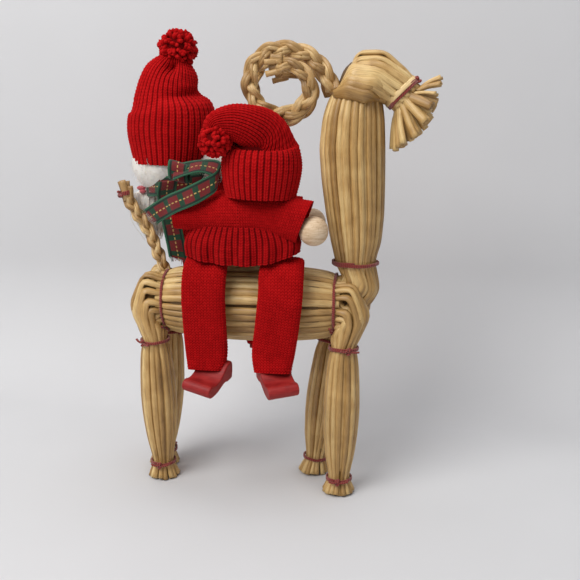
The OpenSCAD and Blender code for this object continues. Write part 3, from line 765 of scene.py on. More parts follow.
def braid(path, up, half_width, half_depth, period, rng, straws=2, cut=0.0):
    """Three strands plaited along path (n, 3). A strand swings from edge to edge once in each
    period and passes over and under twice as often. Each strand is a few flattened straws."""
    n = len(path)
    _, deep, wide = (a[0] for a in path_frames(path[None], up))
    step = np.linalg.norm(np.diff(path, axis=0, prepend=path[:1]), axis=-1)
    phase = TAU * np.cumsum(step) / period
    loose = smoothstep((np.arange(n) / (n - 1) - (1 - cut)) / max(cut, 1e-6)) if cut else np.zeros(n)
    parts = []
    for strand in range(3):
        p = phase + TAU * strand / 3
        across = np.sin(p) * 0.56 * half_width
        over = np.sin(2 * p) * 0.52 * half_depth
        flat = np.cos(p)
        for j in range(straws):
            offset = (j - (straws - 1) / 2) * 0.42 * half_width
            lane = wide * (across + offset * (0.55 + 0.45 * np.abs(flat)))[:, None]
            line = path + lane + deep * (over + rng.uniform(-0.2, 0.2))[:, None]
            line = line + wide * offset[:, None] * 0.4 * loose[:, None]
            lean = deep + wide * (0.5 * np.cos(p) * np.sign(np.cos(2 * p)))[:, None]
            w = half_width * (0.36 if straws > 1 else 0.5) * np.ones(n)
            d = half_depth * 0.34 * np.ones(n)
            parts.append(stems(line[None], w[None], d[None], lean[None], rng, hollow=1.2, flatten=0.0))
    return parts


def horn_path(count):
    """The horn's middle line: a wide curve from the neck that closes into a ring and ends in a
    tighter inner curl, which stands beside the ring."""
    a = np.linspace(-10, 458, count)
    r = HORN_RING_R + 10 * np.clip(1 - (a + 10) / 90, 0, None) ** 1.5 - 8.5 * smoothstep((a - 325) / 130)
    y = 2.4 * (1 - smoothstep((a + 10) / 70)) - 6.5 * smoothstep((a - 300) / 100)
    rad = np.radians(a)
    return HORN_CENTRE + np.stack([r * np.cos(rad), y, r * np.sin(rad)], -1)


def horns():
    """The two horns, the far one a mirror image set a little back and down."""
    for name, mirror, seed in (("horn_near", 1, 71), ("horn_far", -1, 72)):
        rng = np.random.default_rng(seed)
        path = horn_path(190)
        path[:, 1] *= mirror
        if mirror < 0:
            path = path + FAR_HORN_SHIFT
        thin = 1 - 0.2 * smoothstep((np.linspace(0, 1, 190) - 0.6) / 0.4)
        parts = braid(path, np.array([0, -1.0 * mirror, 0]), 4.1 * thin, 3.4 * thin, 31.0, rng, 2, 0.04)
        end = path[-1]
        heading = unit(path[-1] - path[-3])
        spread = np.stack([end + heading * -3 + np.array([0, 0, dz]) for dz in (-2.6, -0.6, 1.6, 3.0)])
        away = unit(heading + np.array([[0, 0, -0.12], [0, 0.15, 0], [0, -0.2, 0.05], [0, 0, 0.2]]))
        stub = resample(np.stack([spread, spread + away * np.array([[8.5], [7], [9], [6]])], 1), 6)
        parts.append(stems(stub, 1.5, 1.1, np.array([0, 1.0, 0]), rng, hollow=2.0, flatten=0))
        dress(f"{name}_braid", parts, HORN_STRAW, name)


def tail():
    """The tail's plait, its tied tip and the cut stems beyond the tie."""
    rng = np.random.default_rng(81)
    path = relax(resample(TAIL_POINTS[None, :4], 90), 6)[0]
    parts = braid(path, np.array([0, -1.0, 0]), 3.3 * np.ones(90), 2.6 * np.ones(90), 23.0, rng, 2)
    root = path[-1]
    heading = unit(TAIL_POINTS[4] - TAIL_POINTS[3])
    lean = np.array([[-0.18, 0, 0], [0.16, 0, -0.05], [0.0, -0.2, 0], [0.1, 0.25, 0], [0.55, -0.2, 0.1]])
    away = unit(heading + lean)
    length = np.array([[9.5], [9.0], [9.8], [8.5], [7.0]])
    tips = resample(np.stack([np.broadcast_to(root - heading, away.shape) + lean * 4, root + away * length],
                             1), 7)
    parts.append(stems(tips, 1.7, 1.3, np.array([0, 1.0, 0]), rng, hollow=2.5, flatten=0))
    dress("tail_plait", parts, HORN_STRAW, "tail_braid")


def goat():
    body_straws()
    for i, (name, (upper, ankle, end, side)) in enumerate(GOAT_LEGS.items()):
        leg_straws(f"leg_{name}", upper, ankle, end, side, 100 + i)
    neck_straws()
    head_straws()
    beard_straws()
    horns()
    tail()
    all_ties()
    muzzle_band()


# --- Knitting --------------------------------------------------------------------------------


def stocking(a, b):
    """Height of stocking stitch, 0 to 1. Each column a is a chain of V's with a deep gutter on
    either side: the arms lean up and outwards from the middle, and repeat once a row b."""
    off = np.abs(a - np.floor(a) - 0.5) * 2
    arm = (0.35 + 0.65 * smoothstep((1.02 - off) / 0.4)) * (1 - 0.4 * np.exp(-(off / 0.16) ** 2))
    return arm * (0.62 + 0.38 * np.cos(TAU * (b - 0.85 * off)))


def ribbed(a, b):
    """Height of ribbing, 0 to 1: a broad ridge with a faint V in it, then a narrow gutter."""
    off = np.abs(a - np.floor(a) - 0.5) * 2
    ridge = smoothstep((1.04 - off) / 0.62)
    seam = 1 - 0.34 * np.exp(-(off / 0.22) ** 2)
    return ridge * seam * (0.76 + 0.24 * np.cos(TAU * (b - 0.7 * off)))


def even_angles(ratio, count, power):
    """Angles round a flattened ring, ratio times as deep as wide, that share out its length."""
    a = np.linspace(0, TAU, 2001)
    x = np.sign(np.cos(a)) * np.abs(np.cos(a)) ** power
    y = np.sign(np.sin(a)) * np.abs(np.sin(a)) ** power * ratio
    reach = np.concatenate([[0], np.cumsum(np.hypot(np.diff(x), np.diff(y)))])
    return np.interp(np.arange(count) / count * reach[-1], reach, a)


def spline(points, count):
    """count even steps along the smooth curve through points (p, 3 or more). Between two points
    the curve is the cubic whose slopes there are half the steps between their neighbours; any
    columns after the first three go along with it."""
    v = np.array(points, float)
    v = np.concatenate([2 * v[:1] - v[1:2], v, 2 * v[-1:] - v[-2:-1]])
    t = np.linspace(0, len(points) - 1, 24 * len(points))
    i = np.minimum(t.astype(int), len(points) - 2)
    f = (t - i)[:, None]
    a, b, c, d = v[i], v[i + 1], v[i + 2], v[i + 3]
    curve = (b + (c - a) * f / 2 + (2 * a - 5 * b + 4 * c - d) * f ** 2 / 2
             + (3 * b - a - 3 * c + d) * f ** 3 / 2)
    reach = np.concatenate([[0], np.cumsum(np.linalg.norm(np.diff(curve[:, :3], axis=0), axis=-1))])
    even = np.linspace(0, reach[-1], count)
    return np.stack([np.interp(even, reach, column) for column in curve.T], -1)


LIP = 2.2


def knitted(points, half_width, half_depth, up, columns, row, pattern, relief, seed, power=0.85,
            fine=(5, 4), shape=None):
    """A closed knitted tube along points. Its rings are flattened circles whose half axes run
    through half_width and half_depth; columns stitches lie round it and a row is row mm long.
    The surface is pushed out along its own normal by relief times the stitch height, and each
    end turns inwards over LIP mm and closes. shape moves the plain surface before that."""
    rng = np.random.default_rng(seed)
    length = np.linalg.norm(np.diff(np.array(points, float), axis=0), axis=-1).sum()
    n, k = int(length / row * fine[1]) + 1, columns * fine[0]
    course = spline(np.column_stack([points, half_width, half_depth]), n)
    path, width, depth = course[:, :3], course[:, 3], course[:, 4]
    _, deep, wide = (a[0] for a in path_frames(path[None], np.array(up, float)))
    angle = even_angles(np.mean(half_depth) / np.mean(half_width), k, power)
    cos = np.sign(np.cos(angle)) * np.abs(np.cos(angle)) ** power
    sin = np.sign(np.sin(angle)) * np.abs(np.sin(angle)) ** power
    p = (path[:, None] + wide[:, None] * (width[:, None] * cos)[..., None]
         + deep[:, None] * (depth[:, None] * sin)[..., None])
    if shape is not None:
        p = shape(p)
    round_ = np.roll(p, -1, 1) - np.roll(p, 1, 1)
    normal = unit(np.cross(round_, np.gradient(p, axis=0)))
    a = np.broadcast_to(columns * np.arange(k) / k, (n, k))
    b = np.broadcast_to((np.arange(n) / fine[1])[:, None], (n, k))
    height = pattern(a, b)
    cell = rng.uniform(-1, 1, (int(b.max()) + 2, columns))
    shade = cell[np.floor(b).astype(int), np.floor(a).astype(int) % columns]
    out = p + normal * (height * relief)[..., None]
    # Tone follows the stitch height, so the hollows get painted shade; the local shade adds a random
    # difference from stitch to stitch.
    tone = np.clip(height * 0.9 + 0.1 + 0.07 * shade, 0, 1)
    middle = out.mean(1, keepdims=True)
    lip = []
    for end, inner in ((0, middle[0] + (middle[2] - middle[0]) / 2),
                       (-1, middle[-1] + (middle[-3] - middle[-1]) / 2)):
        heading = unit(inner - middle[end])
        ring = out[end] - middle[end]
        lip.append([middle[end] + ring * q + heading * LIP * t for q,
                    t in ((0.93, 0.15), (0.88, 0.9), (0.4, 1.1), (0.01, 1.1))])
    out = np.concatenate([np.array(lip[0][::-1]), out, np.array(lip[1])])
    # The lip rings turning into each opening get low tones: painted shade inside the opening.
    inside = np.broadcast_to(np.array([[0.02], [0.1], [0.25], [0.4]]), (4, k))
    tone = np.concatenate([inside, tone, inside[::-1]])
    quads, caps = grid_faces(1, len(out), k)
    return out.reshape(-1, 3), [quads, caps], [np.zeros((quads.size, 2)),
                                               np.zeros((caps.size, 2))], tone.ravel()


YARN_R = 1.1


def yarn_ball(centre, radius, count, seed):
    """A pompom: yarn ends stand out from its middle, each bent over a little and round-tipped, over a plain
    ball that keeps light from passing between them. The ends darken towards the middle and the ball takes a
    low tone: painted shade."""
    rng = np.random.default_rng(seed)
    i = np.arange(count) + 0.5
    polar = np.arccos(1 - 2 * i / count)
    turn = i * math.pi * (1 + math.sqrt(5)) + rng.uniform(-0.3, 0.3, count)
    ray = np.stack([np.sin(polar) * np.cos(turn), np.sin(polar) * np.sin(turn), np.cos(polar)], -1)
    ray = unit(ray + rng.uniform(-0.16, 0.16, ray.shape))
    bend = unit(np.cross(ray, rng.normal(size=ray.shape)))
    t = np.linspace(0, 1, 8)
    reach = radius * rng.uniform(0.88, 1.06, (count, 1))
    stem = ray[:, None] * (reach * (0.5 + 0.5 * t))[..., None]
    stem = stem + bend[:, None] * (radius * 0.26 * t ** 2)[None, :, None]
    tip = np.sqrt(np.clip(1 - ((t - 0.8) / 0.2) ** 2, 0.04, 1)) * (t > 0.8) + (t <= 0.8)
    thick = YARN_R * rng.uniform(0.85, 1.2, (count, 1)) * tip
    verts, faces, uv, owner = tubes(stem + np.array(centre, float), thick, thick, bend[:, None], 7)
    along = np.tile(np.repeat(t, 7), count)
    # Ends darker towards the middle, and a low tone on the inner ball: painted shade between the yarn ends.
    tone = np.clip(along * 0.75 + rng.uniform(-0.12, 0.12, count)[owner], 0, 1)
    middle = ball_mesh(centre, [radius * 0.8] * 3, 24, 14)
    return [(verts, faces, uv, tone), (*middle, 0.12)]


def ball_mesh(centre, radii, sides, rings):
    """A closed ball: rings circles from pole to pole, squashed to the three radii."""
    polar = np.linspace(0.02, math.pi - 0.02, rings)
    turn = TAU * np.arange(sides) / sides
    ray = np.stack([np.sin(polar)[:, None] * np.cos(turn), np.sin(polar)[:, None] * np.sin(turn),
                    np.repeat(-np.cos(polar)[:, None], sides, 1)], -1)
    quads, caps = grid_faces(1, rings, sides)
    verts = (ray * np.array(radii) + np.array(centre, float)).reshape(-1, 3)
    return verts, [quads, caps], [np.zeros((quads.size, 2)), np.zeros((caps.size, 2))]


# --- Jumpers, sleeves and legs ---------------------------------------------------------------


def jumper(name, side, x, half_width, neck, node, seed):
    """A rider's jumper: a ribbed band that hangs over the goat's back, lowest in the middle, and
    a plain knitted chest that narrows to the neck."""
    def hang(p):
        """The band's lower edge rises towards its two ends."""
        t = (p[..., 0] - x - 3) / half_width
        rise = np.where(t > 0, 7.5 if side < 0 else 3.0, 3.0) * t ** 2
        q = p.copy()
        q[..., 2] += rise * (1 - smoothstep((p[..., 2] - 125) / 15))
        q[..., 1] += side * 1.2 * np.sin(p[..., 0] * 0.55) * (1 - smoothstep((p[..., 2] - 127) / 12))
        return q
    up = [0, side, 0]
    band = knitted([[x, side * 15.5, 123.9], [x, side * 15.5, 130.5], [x, side * 15.5, 137],
                    [x, side * 15.5, 143]],
                   [half_width + 0.5, half_width + 1, half_width, half_width - 3.5], [11, 11.2, 10.4, 9], up,
                   44, 1.3,
                   ribbed, 0.75, seed, 0.72, (10, 4), shape=hang)
    chest = knitted([[x, side * 15.5, 139], [x, side * 15.5, 146], [(x + neck[0]) / 2, side * 15, 152],
                     [neck[0], neck[1], 157],
                     [neck[0], neck[1], 161]],
                    [half_width - 3, half_width - 6, 15, 10, 9], [8.5, 8, 7.8, 8, 8], up, 64, 1.3,
                    stocking, 0.45, seed + 1, 0.85, (6, 5))
    # The band takes the darker copy of the knitting: painted shade under the sleeves.
    hem_piece = dress(f"{name}_hem", [band], KNIT_PAINTED_SHADE, node)
    chest_piece = dress(f"{name}_chest", [chest], KNIT)


def sleeve(name, points, half_height, half_depth, side, node, seed, shape=None):
    """A knitted sleeve from the middle of the shoulders to its open cuff, its columns along it."""
    part = knitted(points, half_height, half_depth, [0, side, 0], 38, 1.3, stocking, 0.5, seed, 0.9, (7, 5),
                   shape=shape)
    piece = dress(name, [part], KNIT, node, body=None)
    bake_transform(piece)


def rider_leg(name, x_top, x_foot, side, node, seed, fine):
    """A flat knitted leg that hangs from under the jumper, over the goat's side and down."""
    points = [[x_top, side * 15.5, 125.5], [x_top, side * 22.5, 119.5], [x_top, side * 26.3, 108],
              [(x_top + x_foot) / 2, side * 26.8, 92], [x_foot, side * 26.8, 79], [x_foot, side * 28.3, 70.0]]
    part = knitted(points, [10.3, 10.9, 10.8, 10.7, 10.4, 8.9], [3.2, 3.4, 3.3, 3.4, 4.0, 5.2],
                   [0, side, 0.02], 30, 1.4,
                   stocking, 0.6, seed, 0.6, fine)
    piece = dress(name, [part], KNIT, node, body=None)
    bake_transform(piece)


def clog(name, heel, length, side_dir, node, body):
    """A painted wooden clog, sawn to its side profile: a heel block, an instep scooped out in
    front of it, a toe rolled up to a scroll, and a sole arched under the waist. heel is the
    middle of the back edge of the sole, length runs to the toe and side_dir across."""
    profile = np.array([[0, 0], [-0.4, 4], [0.2, 9], [1.2, 10.8], [4.6, 11.2], [7.4, 9.8], [10, 7.6],
                        [13, 6.1],
                            [16.5, 5.6], [19.3, 6.4], [21.6, 7.6], [23.9, 7.2], [25.2, 5.2], [24.6, 2.7],
                        [22.4, 0.7], [19, 0],
                            [15, 0], [12, 0.7], [9, 1.4], [6.5, 1.3], [5.2, 0.2], [2.5, 0]])
    closed = np.concatenate([profile, profile[:1]])
    ring = resample(closed[None, :, [0, 1, 1]].astype(float), 89)[0, :-1, :2]
    ring = ring / 2 + (np.roll(ring, 1, 0) + np.roll(ring, -1, 0)) / 4
    tangent = np.roll(ring, -1, 0) - np.roll(ring, 1, 0)
    inward = unit(np.stack([tangent[:, 1], -tangent[:, 0]], -1))
    along = unit(np.array(length, float))
    across = unit(np.array(side_dir, float) - np.dot(side_dir, along) * along)
    rise = np.cross(along, across)
    rise = rise * np.sign(rise[2])
    half, bevel = 7.8, 0.7
    turn = np.linspace(0, math.pi / 2, 5)
    w = np.concatenate([-half + bevel * (1 - np.cos(turn)), np.linspace(-half + bevel, half - bevel, 6)[1:-1],
                        half - bevel * (1 - np.cos(turn[::-1]))])
    inset = np.concatenate([bevel * (1 - np.sin(turn)), np.zeros(4), bevel * (1 - np.sin(turn[::-1]))])
    flat = ring[None] + inward[None] * inset[:, None, None]
    scale = np.linalg.norm(length) / 25.0
    verts = (np.array(heel, float) + along * flat[..., :1] * scale + rise * flat[..., 1:] * scale
             + across * w[:, None, None])
    quads, caps = grid_faces(1, len(w), ring.shape[0])
    if np.dot(np.cross(along, rise), across) > 0:
        quads, caps = quads[:, ::-1], caps[:, ::-1]
    part = (verts.reshape(-1, 3), [quads, caps], [np.zeros((quads.size, 2)), np.zeros((caps.size, 2))], 0.5)
    dress(name, [part], PAINT, node, body=body)


def bead_hand(name, centre, node, body):
    """A drilled wooden bead: a ball whose surface turns in round the hole along its axis."""
    r, bore = 7.4, 1.5
    start = math.asin(bore / r)
    polar = np.linspace(start, math.pi - start, 34)
    outer = np.stack([r * np.sin(polar), -r * np.cos(polar)], -1)
    inner = np.stack([np.full(8, bore), np.linspace(outer[-1, 1] - 0.5, outer[0, 1] + 0.5, 8)], -1)
    ring = np.concatenate([outer, inner])
    turn = TAU * np.arange(40) / 40
    grid = np.stack([np.repeat(ring[:, 1:], 40, 1), ring[:, :1] * np.cos(turn), ring[:, :1] * np.sin(turn)],
                    -1)
    k = len(turn)
    i = np.arange(len(ring))[:, None] * k
    j = np.arange(k)[None]
    nxt = (np.arange(len(ring)) + 1)[:, None] % len(ring) * k
    quads = np.stack([i + j, nxt + j, nxt + (j + 1) % k, i + (j + 1) % k], -1).reshape(-1, 4)[:, ::-1]
    part = ((grid + np.array(centre, float)).reshape(-1, 3), [quads], [np.zeros((quads.size, 2))], 0.5)
    dress(name, [part], BEAD, node, body=body)


# --- Hats, heads and hair --------------------------------------------------------------------


def near_hat():
    """The hat pulled down over the near rider's whole head. Its peak has flopped over towards the
    tail, so the ribs climb the ball, turn at the fold and run on to the pompom."""
    points = [[-2.5, -15, 157.5], [-2.2, -15, 166], [-1.8, -15, 175], [-1.5, -15, 183], [-1.8, -18, 188.8],
              [-7, -23, 192.6],
              [-14, -26, 194.2], [-20.5, -28, 193], [-23.5, -29.5, 189]]
    part = knitted(points, [17.0, 18.9, 19.6, 17.4, 12.6, 9.8, 8.2, 6.4, 4.5],
                   [17.0, 18.9, 19.0, 15.6, 11.5, 9.6, 8.2, 6.6, 4.5],
                   [0, -1, 0.02], 38, 1.35, ribbed, 0.8, 301, 1.0, (10, 3))
    piece = dress("near_hat_knit", [part], KNIT, "near_hat")
    # A ball of knit at a low tone fills the hat: painted shade under and between the ribs.
    crown = dress("near_hat_crown", [(*ball_mesh([-3, -15, 176], [15.5, 14.5, 14.0], 48, 28), 0.12)], KNIT)
    head = dress("near_head_wool", [(*ball_mesh([-3, -15, 171], [15, 15, 12.5], 32, 18), 0.5)], WOOL,
                 "near_head")
    ball = dress("near_pompom_yarn", yarn_ball([-21.8, -30, 185.5], 8.3, 210, 302), KNIT, "near_pompom")


def far_hat():
    """The far rider's upright hat: its fullest part stands above the brim, a fold crosses it on
    the side towards the goat's head, and it is gathered under the pompom with a dimple."""
    points = [[-55.5, 9, 172.5], [-55.3, 9, 181], [-55.2, 9, 190], [-54.8, 9, 199], [-55.6, 9, 207],
              [-55.0, 9, 215], [-53.0, 9, 222],
              [-51.0, 9, 228]]
    def fold(p):
        """A crease pressed in on one side, and a dimple on the near side under the pompom."""
        q = p.copy()
        ray = p - p.mean(1, keepdims=True)
        turn = np.arctan2(ray[..., 1], ray[..., 0])
        crease = np.exp(-((p[..., 2] - 209.5 - 3.5 * np.sin(turn)) / 3.4) ** 2)
        crease = crease * np.clip(np.cos(turn + 0.35), 0, 1)
        dent = np.exp(-((p[..., 0] + 51.5) ** 2 + (p[..., 2] - 221.5) ** 2) / 9.0) * (ray[..., 1] < 0)
        q -= unit(ray) * (crease * 3.2)[..., None]
        q[..., 1] += dent * 6.0
        return q
    part = knitted(points, [19.6, 21.6, 23.0, 22.2, 18.4, 15.6, 12.0, 5.5],
                   [19.8, 21.0, 22.0, 21.2, 17.6, 14.4, 11.0, 5.5],
                   [0, -1, 0.02], 42, 1.35, ribbed, 0.8, 311, 1.0, (10, 3), shape=fold)
    piece = dress("far_hat_knit", [part], KNIT, "far_hat")
    ball = dress("far_pompom_yarn", yarn_ball([-50.6, 9, 231.8], 10.2, 260, 312), KNIT, "far_pompom")


def wool_fibres(centre, radii, count, length, seed):
    """Short fine curls that lie over a ball of wool."""
    rng = np.random.default_rng(seed)
    ray = unit(rng.normal(size=(count, 3)))
    ray[:, 2] = -np.abs(ray[:, 2])
    root = np.array(centre, float) + ray * np.array(radii) * 0.985
    flow = unit(np.cross(ray, rng.normal(size=ray.shape)) + np.array([0, 0, -1]) * 0.6)
    t = np.linspace(0, 1, 6)[None, :, None]
    curl = np.cross(ray, flow)[:, None]
    path = (root[:, None] + flow[:, None] * t * length + ray[:, None] * 1.1 * np.sin(math.pi * t)
            + curl * 1.2 * np.sin(2.2 * t + 1) * t)
    thin = np.broadcast_to(0.11 * (1 - 0.6 * t[0, :, 0]), (count, 6))
    verts, faces, uv, _ = tubes(path, thin, thin, ray[:, None], 3)
    return verts, faces, uv, 0.5


def lumpy_ball(centre, radii, seed, lump=0.5):
    """A stuffed ball: low waves of a few millimetres across disturb it along its own rays."""
    verts, faces, uv = ball_mesh([0, 0, 0], [1, 1, 1], 72, 44)
    rng = np.random.default_rng(seed)
    wave = rng.normal(size=(14, 3)) * 4.0
    swell = np.sin(verts @ wave.T + rng.uniform(0, TAU, 14)).mean(1)
    verts = verts * (np.array(radii) + lump * swell[:, None] * 2.2) + np.array(centre, float)
    return verts, faces, uv, 0.5


def far_head():
    """The far rider's head: a white padded ball, hair that stands out beside it, a long beard of
    loose wool, and a small felt mouth between them."""
    head = dress("far_head_felt", [lumpy_ball([-57.6, 8.6, 174], [19.0, 18.4, 18.6], 321, 0.35),
                                   wool_fibres([-57.6, 8.6, 174], [19.0, 18.4, 18.6], 260, 5.0, 322)], WOOL,
                 "far_head")
    hair = dress("far_hair_wool", [lumpy_ball([-36.5, 10, 173.5], [12.5, 10.5, 8.5], 323, 0.8),
                                   wool_fibres([-36.5, 10, 173.5], [12.5, 10.5, 8.5], 220, 6.0, 324)], WOOL,
                 "far_hair")
    rng = np.random.default_rng(325)
    count = 700
    top = np.stack([rng.uniform(-76, -60, count), rng.uniform(2, 16, count), np.full(count, 157.0)], -1)
    spread = rng.uniform(-1, 1, (count, 3)) * np.array([3.0, 3.0, 1.0])
    low = (top - [-69, 9, 0]) * [0.55, 0.6, 0] + [-67.5, 9,
                                                  0] + np.array([0, 0, 1]) * rng.uniform(131, 146, (count, 1))
    belly = (top + low) / 2 + spread + (top - [-68, 9, 157]) * [0.35, 0.35, 0]
    locks = relax(resample(np.stack([top, belly, low], 1), 9), 2)
    thin = np.broadcast_to(0.26 * np.linspace(1, 0.35, 9), (count, 9))
    strand = tubes(locks, thin, thin, np.array([0, 1.0, 0.1]), 4)
    beard = dress("far_beard_wool", [lumpy_ball([-69.0, 8, 147.5], [8.8, 7.6, 12.0], 326, 1.2),
                                     (*strand[:3], 0.5)], WOOL, "far_beard")
    lips = [(*ball_mesh([-71.0, 2.2, 159.8], [2.5, 1.7, 1.3], 24, 14), 0.5),
            (*ball_mesh([-70.2, 1.8, 158.1], [1.8, 1.4, 1.2], 24, 14), 0.5)]
    dress("far_mouth_felt", lips, PINK, "far_mouth")


# --- Scarf -----------------------------------------------------------------------------------


def ribbon(name, points, across, nodes, seed, frayed=True, closed=False, count=90):
    """A length of woven ribbon 10 mm wide and half a millimetre thick. points are its middle line
    and across its width's direction at each of them; it ripples a little, and a cut end runs
    slantwise with loose threads. Its pattern is laid out in mm across and along it."""
    rng = np.random.default_rng(seed)
    half, thick, k = 5.0, 0.45, 13
    line = spline(points, count)
    s = np.linspace(0, 1, count)
    knots = np.linspace(0, 1, len(across))
    over = unit(np.stack([np.interp(s, knots, np.array(across, float)[:, i]) for i in range(3)], -1))
    reach = np.concatenate([[0], np.cumsum(np.linalg.norm(np.diff(line, axis=0), axis=-1))])
    u = np.linspace(-half, half, k)
    slant = np.clip((reach - reach[-1] + 8) / 8, 0, 1) * (not closed)
    normal = unit(np.cross(np.gradient(line, axis=0), over))
    ripple = 0.35 * np.sin(reach * 0.5 + rng.uniform(0, TAU))[:, None] * np.cos(u / half * 1.6)
    forward = unit(np.gradient(line, axis=0))
    mid = (line[:, None] + over[:, None] * u[:, None] + normal[:, None] * ripple[..., None]
           + forward[:, None] * (slant[:, None] * u * 0.45)[..., None])
    face = mid + normal[:, None] * thick / 2
    back = mid - normal[:, None] * thick / 2
    ring = np.concatenate([face, back[:, ::-1]], 1)
    quads, caps = grid_faces(1, count, 2 * k)
    width_at = np.concatenate([u, u[::-1]])
    place = np.stack([np.broadcast_to(width_at, (count, 2 * k)),
                      np.broadcast_to(reach[:, None], (count, 2 * k))], -1).reshape(-1, 2)
    uv = [place[quads.ravel()], place[caps.ravel()]]
    parts = [(ring.reshape(-1, 3), [quads, caps], uv, 0.5)]
    if frayed:
        t = np.linspace(0, 1, 5)
        at = np.linspace(-half, half, 26)
        root = line[-1] + over[-1] * at[:, None] + forward[-1] * (at * 0.45)[:, None]
        wild = rng.uniform(-0.5, 0.5, (26, 3))
        ends = root[:, None] + (forward[-1] + wild)[:, None] * (t * rng.uniform(0.8, 2.6, (26, 1)))[..., None]
        loose = tubes(ends, 0.13, 0.13, normal[-1], 4)
        edge = np.repeat(np.clip(at * 1.02, -4.9, 4.9), 5 * 4)
        at_vertex = np.stack([edge, np.full(edge.shape, reach[-1])], -1)
        parts.append((loose[0], loose[1], [at_vertex[f.ravel()] for f in loose[1]], 0.5))
    piece = dress(name, parts, RIBBON, *nodes)
    return piece


def scarf():
    """The far rider's tartan scarf: a turn round the neck, a knot beside it, a loop that opens
    towards the goat's head and comes back as the front tail, and a second tail that hangs."""
    a = np.linspace(-0.6 * math.pi, 1.4 * math.pi, 15)
    collar = np.stack([-52 + 17.2 * np.cos(a), 9 + 17.2 * np.sin(a), 162 + 1.5 * np.cos(a)], -1)
    ribbon("scarf_collar_ribbon", collar, [[0, 0, 1.0]] * 2, ["scarf_collar"], 401,
           False, True)
    front = [[-46, -19.5, 169.5], [-40, -18.5, 171.5], [-32, -17.0, 172.8], [-26, -17.5, 172.0],
             [-22.5, -20.0, 169.5],
             [-23.5, -24.0, 165.5], [-29, -26.5, 162.0], [-36, -27.0, 158.5], [-45, -25.0, 154.8],
             [-52, -22.5, 151.2], [-58.5, -20.5, 147.2]]
    lean = [[-0.1, 0.7, 0.7], [-0.1, 0.75, 0.6], [0.0, 0.8, 0.55], [0.15, 0.6, 0.7], [0.1, 0.1, 1.0],
            [-0.1, 0.1, 1.0],
            [-0.3, 0.15, 0.95], [-0.35, 0.2, 0.92], [-0.4, 0.1, 0.9], [-0.4, 0.05, 0.88], [-0.38, 0.0, 0.92]]
    ribbon("scarf_loop_ribbon", front, lean, ["scarf_loop", "scarf_tail_front"],
           402)
    back = [[-50.5, -15, 165], [-52.5, -12, 158], [-53.2, -7, 150], [-52.5, -4, 140], [-51, -3, 130],
            [-50, -2.5, 122.5]]
    ribbon("scarf_hanging_ribbon", back, [[1.0, 0.15, 0.1], [0.95, 0.25, 0.1]], ["scarf_tail_back"],
           403)
    turn = np.linspace(0, TAU, 13)[:-1]
    turn = np.concatenate([turn, turn[:1] + TAU + 0.3])
    knot = np.stack([-44.0 + 0 * turn, -17.0 - 3.2 * np.cos(turn), 169.8 + 4.6 * np.sin(turn)], -1)
    ribbon("scarf_knot_ribbon", knot, [[1.0, 0.1, -0.35], [1.0, 0.1, -0.2]], ["scarf_knot"],
           404, False, True, 60)


